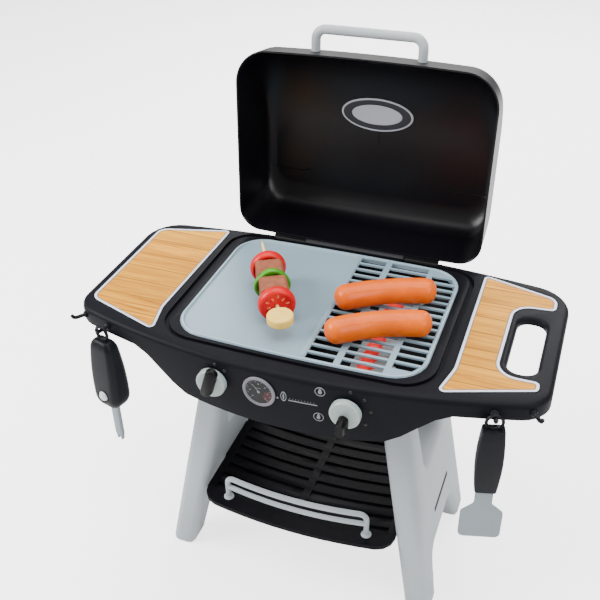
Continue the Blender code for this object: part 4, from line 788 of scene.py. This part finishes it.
printShapes = []
for x, z in prints["icons"]:
    printShapes += [printRing(x, z, prints["iconRadius"], prints["iconRadius"] - prints["iconLine"]),
                    printShape(flameOutline(x, z, prints["iconRadius"] * prints["flameShare"]))]
(x0, z0), (x1, z1) = prints["lineStart"], prints["lineEnd"]
lineX, lineZ = np.linspace(x0 + prints["lineSkip"], x1, 8), np.linspace(z0, z1, 8)
line = np.vstack((columns(lineX, lineZ - 0.0008), columns(lineX, lineZ + 0.0008)[::-1]))
printShapes.append(printShape(line))
tick = np.array([(-0.00025, 0.0022), (0.00025, 0.0022), (0.00025, 0.0042), (-0.00025, 0.0042)])
for share in np.linspace(0.36, 0.92, 9):
    printShapes.append(printShape(tick + (x0 + (x1 - x0) * share, z0 + (z1 - z0) * share)))
printShapes += [printRing(*prints["bulb"], 0.0085, 0.0068, 0.52),
                printShape(arcOf(fullTurn(30), 0.0013, *prints["bulb"], 0.0055)),
                printShape(arcOf(fullTurn(30), 0.0016, x0 + 0.004, z0))]
newPiece("apronPrints", "heat_gauge", "print", *printShapes, replaced=False)

# Raised dots on an arc over each knob: side, arc radius, clockwise angles from the top
dots = ((-1, 0.0290, (9, 41.6)), (1, 0.0330, (7.5, 45.7, 83, 127.7)))
dotDome = latheShape(arcOf(np.linspace(0, 1.5, 7), 0.0027, tall=0.0019), 24)
dotShapes = []
for side, radius, angles in dots:
    for angle in np.radians(angles):
        x, z = side * knob["x"] + radius * np.sin(angle), knob["z"] + radius * np.cos(angle)
        slope = np.arctan(2 * deck["frontBow"] * x / deck["half"] ** 2)
        dotShapes.append(placed(dotDome, onApron([(x, z)], 0.0)[0], *apronAxes(slope)))
newPiece("apronDots", "deck_tray", "dot", *dotShapes, sharp=60, replaced=False)
print("stage: controls finished")


# Play food

seats = {"grille": 0.0015, "griddle": -0.0001}
sausage = {"length": 0.155, "radius": 0.0195, "bow": 0.011, "turn": np.radians(27), "endShare": 0.95,
           "rear": (0.0945, 0.0200), "front": (0.1075, -0.0645)}


def sausageShape(length, radius, bow, sides=44, stations=70):
    # Radius falls to the ends by a superellipse; the middle line is a parabola in plan.
    s = np.sin(turns(-90, 90, stations)) * 0.9995 * length / 2
    reach = radius * sausage["endShare"]
    end = np.clip((np.abs(s) - (length / 2 - reach)) / reach, 0, 1)
    swell = 1 - 0.012 * np.cos(s / length * 9)
    path = columns(s, bow * (1 - (2 * s / length) ** 2) - bow / 2, np.zeros(stations))
    return tubeShape(path, radius * (1 - end ** 2.5) ** (1 / 2.1) * swell, sides)


c, s = np.cos(sausage["turn"]), np.sin(sausage["turn"])
for word in ("rear", "front"):
    origin = np.array((*sausage[word], sausage["radius"] + seats["grille"])) + deck["centre"]
    shape = sausageShape(sausage["length"], sausage["radius"], sausage["bow"])
    newPiece(word + "Sausage", word + "_sausage", "sausage", placed(shape, origin, (c, s, 0), (-s, c, 0)),
             sharp=80)

skewer = {"x": -0.0975, "y": 0.0200, "turn": np.radians(-60.5), "tomato": 0.0285, "slice": 0.017,
          "dish": 0.003, "meat": 0.0211775, "meatLength": 0.0370, "pepper": 0.0280, "pepperThick": 0.010,
          "lobe": 0.03, "gap": 0.0003, "stick": 0.0026, "tail": 0.081, "potato": 0.0198,
          "potatoHalf": 0.0068, "potatoEdge": 0.0026, "potatoAt": 0.1396}
skewerHeight = skewer["pepper"] * (1 + skewer["lobe"]) + seats["griddle"]
skewerOrigin = np.array((skewer["x"], skewer["y"], skewerHeight)) + deck["centre"]
c, s = np.cos(skewer["turn"]), np.sin(skewer["turn"])
alongSkewer, acrossSkewer = np.array((c, s, 0)), (-s, c, 0)


def onSkewer(shape, at=0.0):
    # The shape's own Z axis runs along the skewer.
    return placed(shape, skewerOrigin + alongSkewer * at, acrossSkewer, (0, 0, 1), alongSkewer)


def tomatoProfile():
    half, radius, dish = skewer["slice"] / 2, skewer["tomato"], skewer["dish"]
    edge = half * 0.9 * 0.62
    back = [(0.003, -half + dish), (radius * 0.70, -half + dish), (radius * 0.76, -half + dish * 0.5),
            (radius * 0.80, -half)]
    skin = arcOf(turns(-90, 90, 17), edge, radius - edge, 0, half)
    return np.vstack((back, skin, [(r, -z) for r, z in back[::-1]]))


def seedShapes(face):
    # Flattened drops in a ring on the slice's face: a ball scaled along three axes.
    ball = latheShape(arcOf(np.linspace(-1.45, 1.45, 7), 1.0), 12)
    shapes = []
    for index in range(10):
        angle = index * 2 * np.pi / 10 + 0.2
        reach = skewer["tomato"] * (0.46 if index % 2 else 0.56)
        ahead, across = (np.array((*rayAt(angle + quarter), 0)) for quarter in (0, np.pi / 2))
        shapes.append(placed(ball, reach * ahead + np.array((0, 0, face)), 0.0034 * ahead, 0.0017 * across,
                             (0, 0, 0.0011)))
    return shapes


tomatoAt = {"rear": 0.0,
            "front": skewer["slice"] + 4 * skewer["gap"] + 2 * skewer["meatLength"] + skewer["pepperThick"]}
face = skewer["slice"] / 2 - skewer["dish"]
for word, at in tomatoAt.items():
    node = word + "_tomato"
    newPiece(word + "TomatoSlice", node, "tomato", onSkewer(latheShape(tomatoProfile(), 56), at), sharp=60)
    seeds = [onSkewer(shape, at) for shape in seedShapes(face) + seedShapes(-face)]
    newPiece(word + "TomatoSeeds", node, "seed", *seeds, sharp=80, replaced=False)


def meatShape(length, half, corner=0.006, edge=0.0022):
    # Rounded square section; the first and last rings draw in to round the ends.
    turn = turns(0, 90, 7)
    steps = [(edge * (1 - np.sin(t)), edge * (1 - np.cos(t))) for t in turn]
    steps += [(0, length * share) for share in (0.3, 0.5, 0.7)]
    steps += [(edge * (1 - np.cos(t)), length - edge * (1 - np.sin(t))) for t in turn]
    rows = []
    for inset, z in steps:
        square = roundedBox(half, half, corner, inset)
        wave = 1 + 0.012 * np.sin(5 * np.arctan2(square[:, 1], square[:, 0]) + z * 240)
        rows.append(withHeight(square * wave[:, None], z))
    return gridShape(rows)


meatAt = {"rear": skewer["slice"] / 2 + skewer["gap"]}
meatAt["front"] = meatAt["rear"] + skewer["meatLength"] + 2 * skewer["gap"] + skewer["pepperThick"]
for word, at in meatAt.items():
    shape = meatShape(skewer["meatLength"], skewer["meat"])
    newPiece(word + "MeatBlock", word + "_meat", "meat", onSkewer(shape, at), sharp=60)


def pepperProfile():
    # A ring with a bulged outside, on a thin web between the meat blocks.
    half, inner = skewer["pepperThick"] / 2, 0.0222
    skin = arcOf(turns(-90, 90, 11), 0.0016, skewer["pepper"] - 0.0016, 0, half)
    below = [(0.0032, -half / 3), (inner, -half / 3), (inner, -half * 0.8), (inner + 0.0008, -half)]
    return np.vstack((below, skin, [(r, -z) for r, z in below[::-1]]))


pepperMiddle = meatAt["rear"] + skewer["meatLength"] + skewer["gap"] + skewer["pepperThick"] / 2
pepper = latheShape(pepperProfile(), 96, wrapAlong=True, lobes=skewer["lobe"])
newPiece("pepperSlice", "pepper_ring", "pepper", onSkewer(pepper, pepperMiddle), sharp=60)

thick, tail = skewer["stick"], skewer["tail"]
stickProfile = [(0.0008, -tail), (0.0019, 0.003 - tail), (thick, 0.009 - tail), (thick, 0.0),
                (thick, skewer["potatoAt"] - 0.0026)]
newPiece("skewerStick", "skewer_stick", "stick", onSkewer(latheShape(stickProfile, 20)), sharp=60)

radius, half, edge = skewer["potato"], skewer["potatoHalf"], skewer["potatoEdge"]
potatoProfile = np.vstack(([(0.0004, -half)], arcOf(turns(-90, 0, 5), edge, radius - edge, edge - half),
                           arcOf(turns(0, 90, 5), edge, radius - edge, half - edge),
                           [(radius * 0.8, half + 0.0001), (0.0004, half)]))
newPiece("potatoSlice", "potato_slice", "potato",
         placed(latheShape(potatoProfile), skewerOrigin + alongSkewer * skewer["potatoAt"]), sharp=60)
print("stage: food finished")


# Hanging tools

fork = {"peg": np.array((-0.29542, -0.2026, 0.4665)), "facing": np.array((0.25669, 0.96649, 0.0)),
        "ringDrop": 0.0055, "ringRadius": 0.0112, "ringTube": 0.0025, "length": 0.125,
        "topHalf": (0.0200, 0.0118), "lowHalf": (0.0246, 0.0202), "bow": (0.0042, 0.0016),
        "crown": 0.12, "toe": 0.17, "crownKeep": 0.50, "toeKeep": 0.52, "corner": 0.66,
        "shankHalf": (0.0080, 0.0034), "shankLength": 0.070, "prong": 0.009, "prongHalf": 0.0030,
        "wellRadius": 0.0112, "wellTube": 0.0013, "studRadius": 0.0084, "studProud": 0.0030,
        "studDeep": 0.004}
forkAxes = (np.cross(fork["facing"], (0, 0, 1)), fork["facing"], (0, 0, 1))
handleTop = -fork["ringDrop"] - fork["ringRadius"]


def onFork(shape):
    return placed(shape, fork["peg"], *forkAxes)


def roundedEnd(share, reach, keep):
    # Quarter ellipse from keep, at the very end, to 1 at the reach.
    near = np.clip((reach - share) / reach, 0, 1)
    return keep + (1 - keep) * np.sqrt(1 - near ** 2)


def forkHandleShape():
    # Rounded rectangles down the handle: half sizes grow evenly, bow a little, and draw in at both ends.
    share = (1 - np.cos(turns(0, 180, 34))) / 2
    ends = (roundedEnd(share, fork["crown"], fork["crownKeep"])
            * roundedEnd(1 - share, fork["toe"], fork["toeKeep"]))
    halves = [(top + (low - top) * share + bow * np.sin(np.pi * share)) * ends
              for top, low, bow in zip(fork["topHalf"], fork["lowHalf"], fork["bow"])]
    return gridShape([withHeight(roundedBox(halfX, halfY, min(halfX, halfY) * fork["corner"]),
                                 handleTop - fork["length"] * at)
                      for at, halfX, halfY in zip(share, *halves)])


def barRows(halfX, halfY, heights, widths, x=0.0):
    # A flat bar with rounded edges: one rectangle at each height, narrowed by its share of the width.
    rows = []
    for z, share in zip(heights, widths):
        outline = roundedBox(halfX * share, halfY, min(halfX * share, halfY) * 0.5, steps=4)
        rows.append(withHeight(outline + np.array((x, 0)), z))
    return gridShape(rows)


ring = arcOf(fullTurn(40), fork["ringRadius"], 0, -fork["ringDrop"])
forkRing = tubeShape(columns(ring[:, 0], np.zeros(40), ring[:, 1]), fork["ringTube"], 16, wrapAlong=True)
newPiece("forkGrip", "fork_handle", "tool", onFork(forkHandleShape()), onFork(forkRing), sharp=60)
handleLow = handleTop - fork["length"]
shankLow = handleLow - fork["shankLength"]
shankX, shankY = fork["shankHalf"]
shank = [barRows(shankX, shankY, (handleLow + 0.012, shankLow + 0.004, shankLow), (1, 1, 0.86))]
for side in (-1, 1):
    heights = (shankLow + 0.003, shankLow - fork["prong"] * 0.5, shankLow - fork["prong"])
    shank.append(barRows(fork["prongHalf"], shankY * 0.8, heights, (1, 0.85, 0.3),
                         side * (shankX - fork["prongHalf"]) * 0.84))
newPiece("forkShank", "fork_shank", "blade", *(onFork(shape) for shape in shank), sharp=50)

# The stud sits in a dark well on the handle's front, which leans as the handle widens.
lean = np.arctan2(fork["lowHalf"][1] - fork["topHalf"][1], fork["length"])
out = -fork["facing"] * np.cos(lean) + np.array((0, 0, np.sin(lean)))
studSeat = np.array(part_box("fork_stud")).mean(0) + out * fork["studProud"]
studAxes = (forkAxes[0], np.cross(out, forkAxes[0]), out)
wellPath = withHeight(arcOf(fullTurn(48), fork["wellRadius"]), 0.0)
well = tubeShape(wellPath, fork["wellTube"], 12, wrapAlong=True)
newPiece("studWell", "fork_handle", "grip", placed(well, studSeat, *studAxes), sharp=60, replaced=False)
studProfile = np.vstack(([(0.0004, -fork["studDeep"]), (fork["studRadius"], -fork["studDeep"])],
                         arcOf(turns(0, 90, 12), fork["studRadius"], 0.0002, 0, fork["studRadius"] * 0.55)))
newPiece("forkStud", "fork_stud", "stud", placed(latheShape(studProfile, 40), studSeat, *studAxes), sharp=60)
softened("turner_handle", "tool", 0.0010, sharp=50, segments=3)
softened("turner_blade", "blade", 0.0004)
print("stage: tools finished")


# Floor, light and camera

def addFloor(size=9.0):
    made, tree, shader, where = newMaterial("paleFloor")
    tones = mixNode(tree, noiseNode(tree, where, 3.0, 2.0), (0.92, 0.92, 0.92, 1), (0.94, 0.94, 0.94, 1))
    # The camera sees the floor a little brighter than the light it throws back.
    seen = addNode(tree, "LightPath")["Is Camera Ray"]
    feed(tree, shader, {"Base Color": tones, "Roughness": 0.8, "Specular IOR Level": 0.1,
                        "Emission Color": (1, 1, 1, 1),
                        "Emission Strength": mathNode(tree, "MULTIPLY", seen, studio["floorSeen"])})
    mesh = bpy.data.meshes.new("floor")
    corners = [(-size, -size, 0), (size, -size, 0), (size, size, 0), (-size, size, 0)]
    mesh.from_pydata(corners, [], [(0, 1, 2, 3)])
    mesh.materials.append(made)
    addObject("floor", mesh)


def addSoftbox(name, place, target, size, power):
    light = bpy.data.lights.new(name, "AREA")
    light.shape = "RECTANGLE"
    light.size, light.size_y = size
    light.energy = power
    lamp = addObject(name, light)
    lamp.location = place
    lamp.rotation_euler = (Vector(target) - Vector(place)).to_track_quat("-Z", "Y").to_euler()


def addWorld():
    # Behind the floor the camera sees a white as light as the floor; the light from there stays weak.
    world = bpy.data.worlds.new("studio")
    bpy.context.scene.world = world
    world.use_nodes = True
    tree = world.node_tree
    seen = addNode(tree, "LightPath")["Is Camera Ray"]
    feed(tree, tree.nodes["Background"], {"Color": (1.0, 1.0, 1.0, 1),
                                          "Strength": rangeNode(tree, seen, studio["glow"], studio["seen"])})


camera = {"fromDeck": (0.3581, -1.0130, 0.7404), "yaw": 21.31, "pitch": 34.51, "roll": -1.30, "lens": 50.736}


def addCamera():
    # Yaw about the world's Z, then pitch and roll about the camera's own axes.
    yaw, pitch, roll = (np.radians(camera[key]) for key in ("yaw", "pitch", "roll"))
    lens = bpy.data.cameras.new("photoCamera")
    lens.sensor_width = 36
    lens.lens = camera["lens"]
    lens.clip_start = 0.05
    made = addObject("photoCamera", lens)
    turned = (Matrix.Rotation(yaw, 4, "Z") @ Matrix.Rotation(np.pi / 2 - pitch, 4, "X")
              @ Matrix.Rotation(roll, 4, "Z"))
    made.matrix_world = Matrix.Translation(deck["centre"] + camera["fromDeck"]) @ turned
    bpy.context.scene.camera = made


studio = {"floorSeen": 2.2, "glow": 0.35, "seen": 4.3}
# name: place, target, size, watts
softboxes = {"keyLeft": ((-2.3, -1.0, 2.0), (0, 0, 0.45), (1.7, 1.7), 125),
             "fillRight": ((2.2, -1.1, 1.8), (0, 0, 0.45), (1.6, 1.8), 42),
             "overhead": ((0.1, 0.3, 3.0), (0, 0, 0.4), (3.2, 2.6), 115),
             "backdrop": ((0.0, 2.9, 2.2), (0, 1.1, 0.0), (3.4, 1.2), 120)}
addFloor()
for name, settings in softboxes.items():
    addSoftbox(name, *settings)
addWorld()
addCamera()
print("stage: light and camera set")
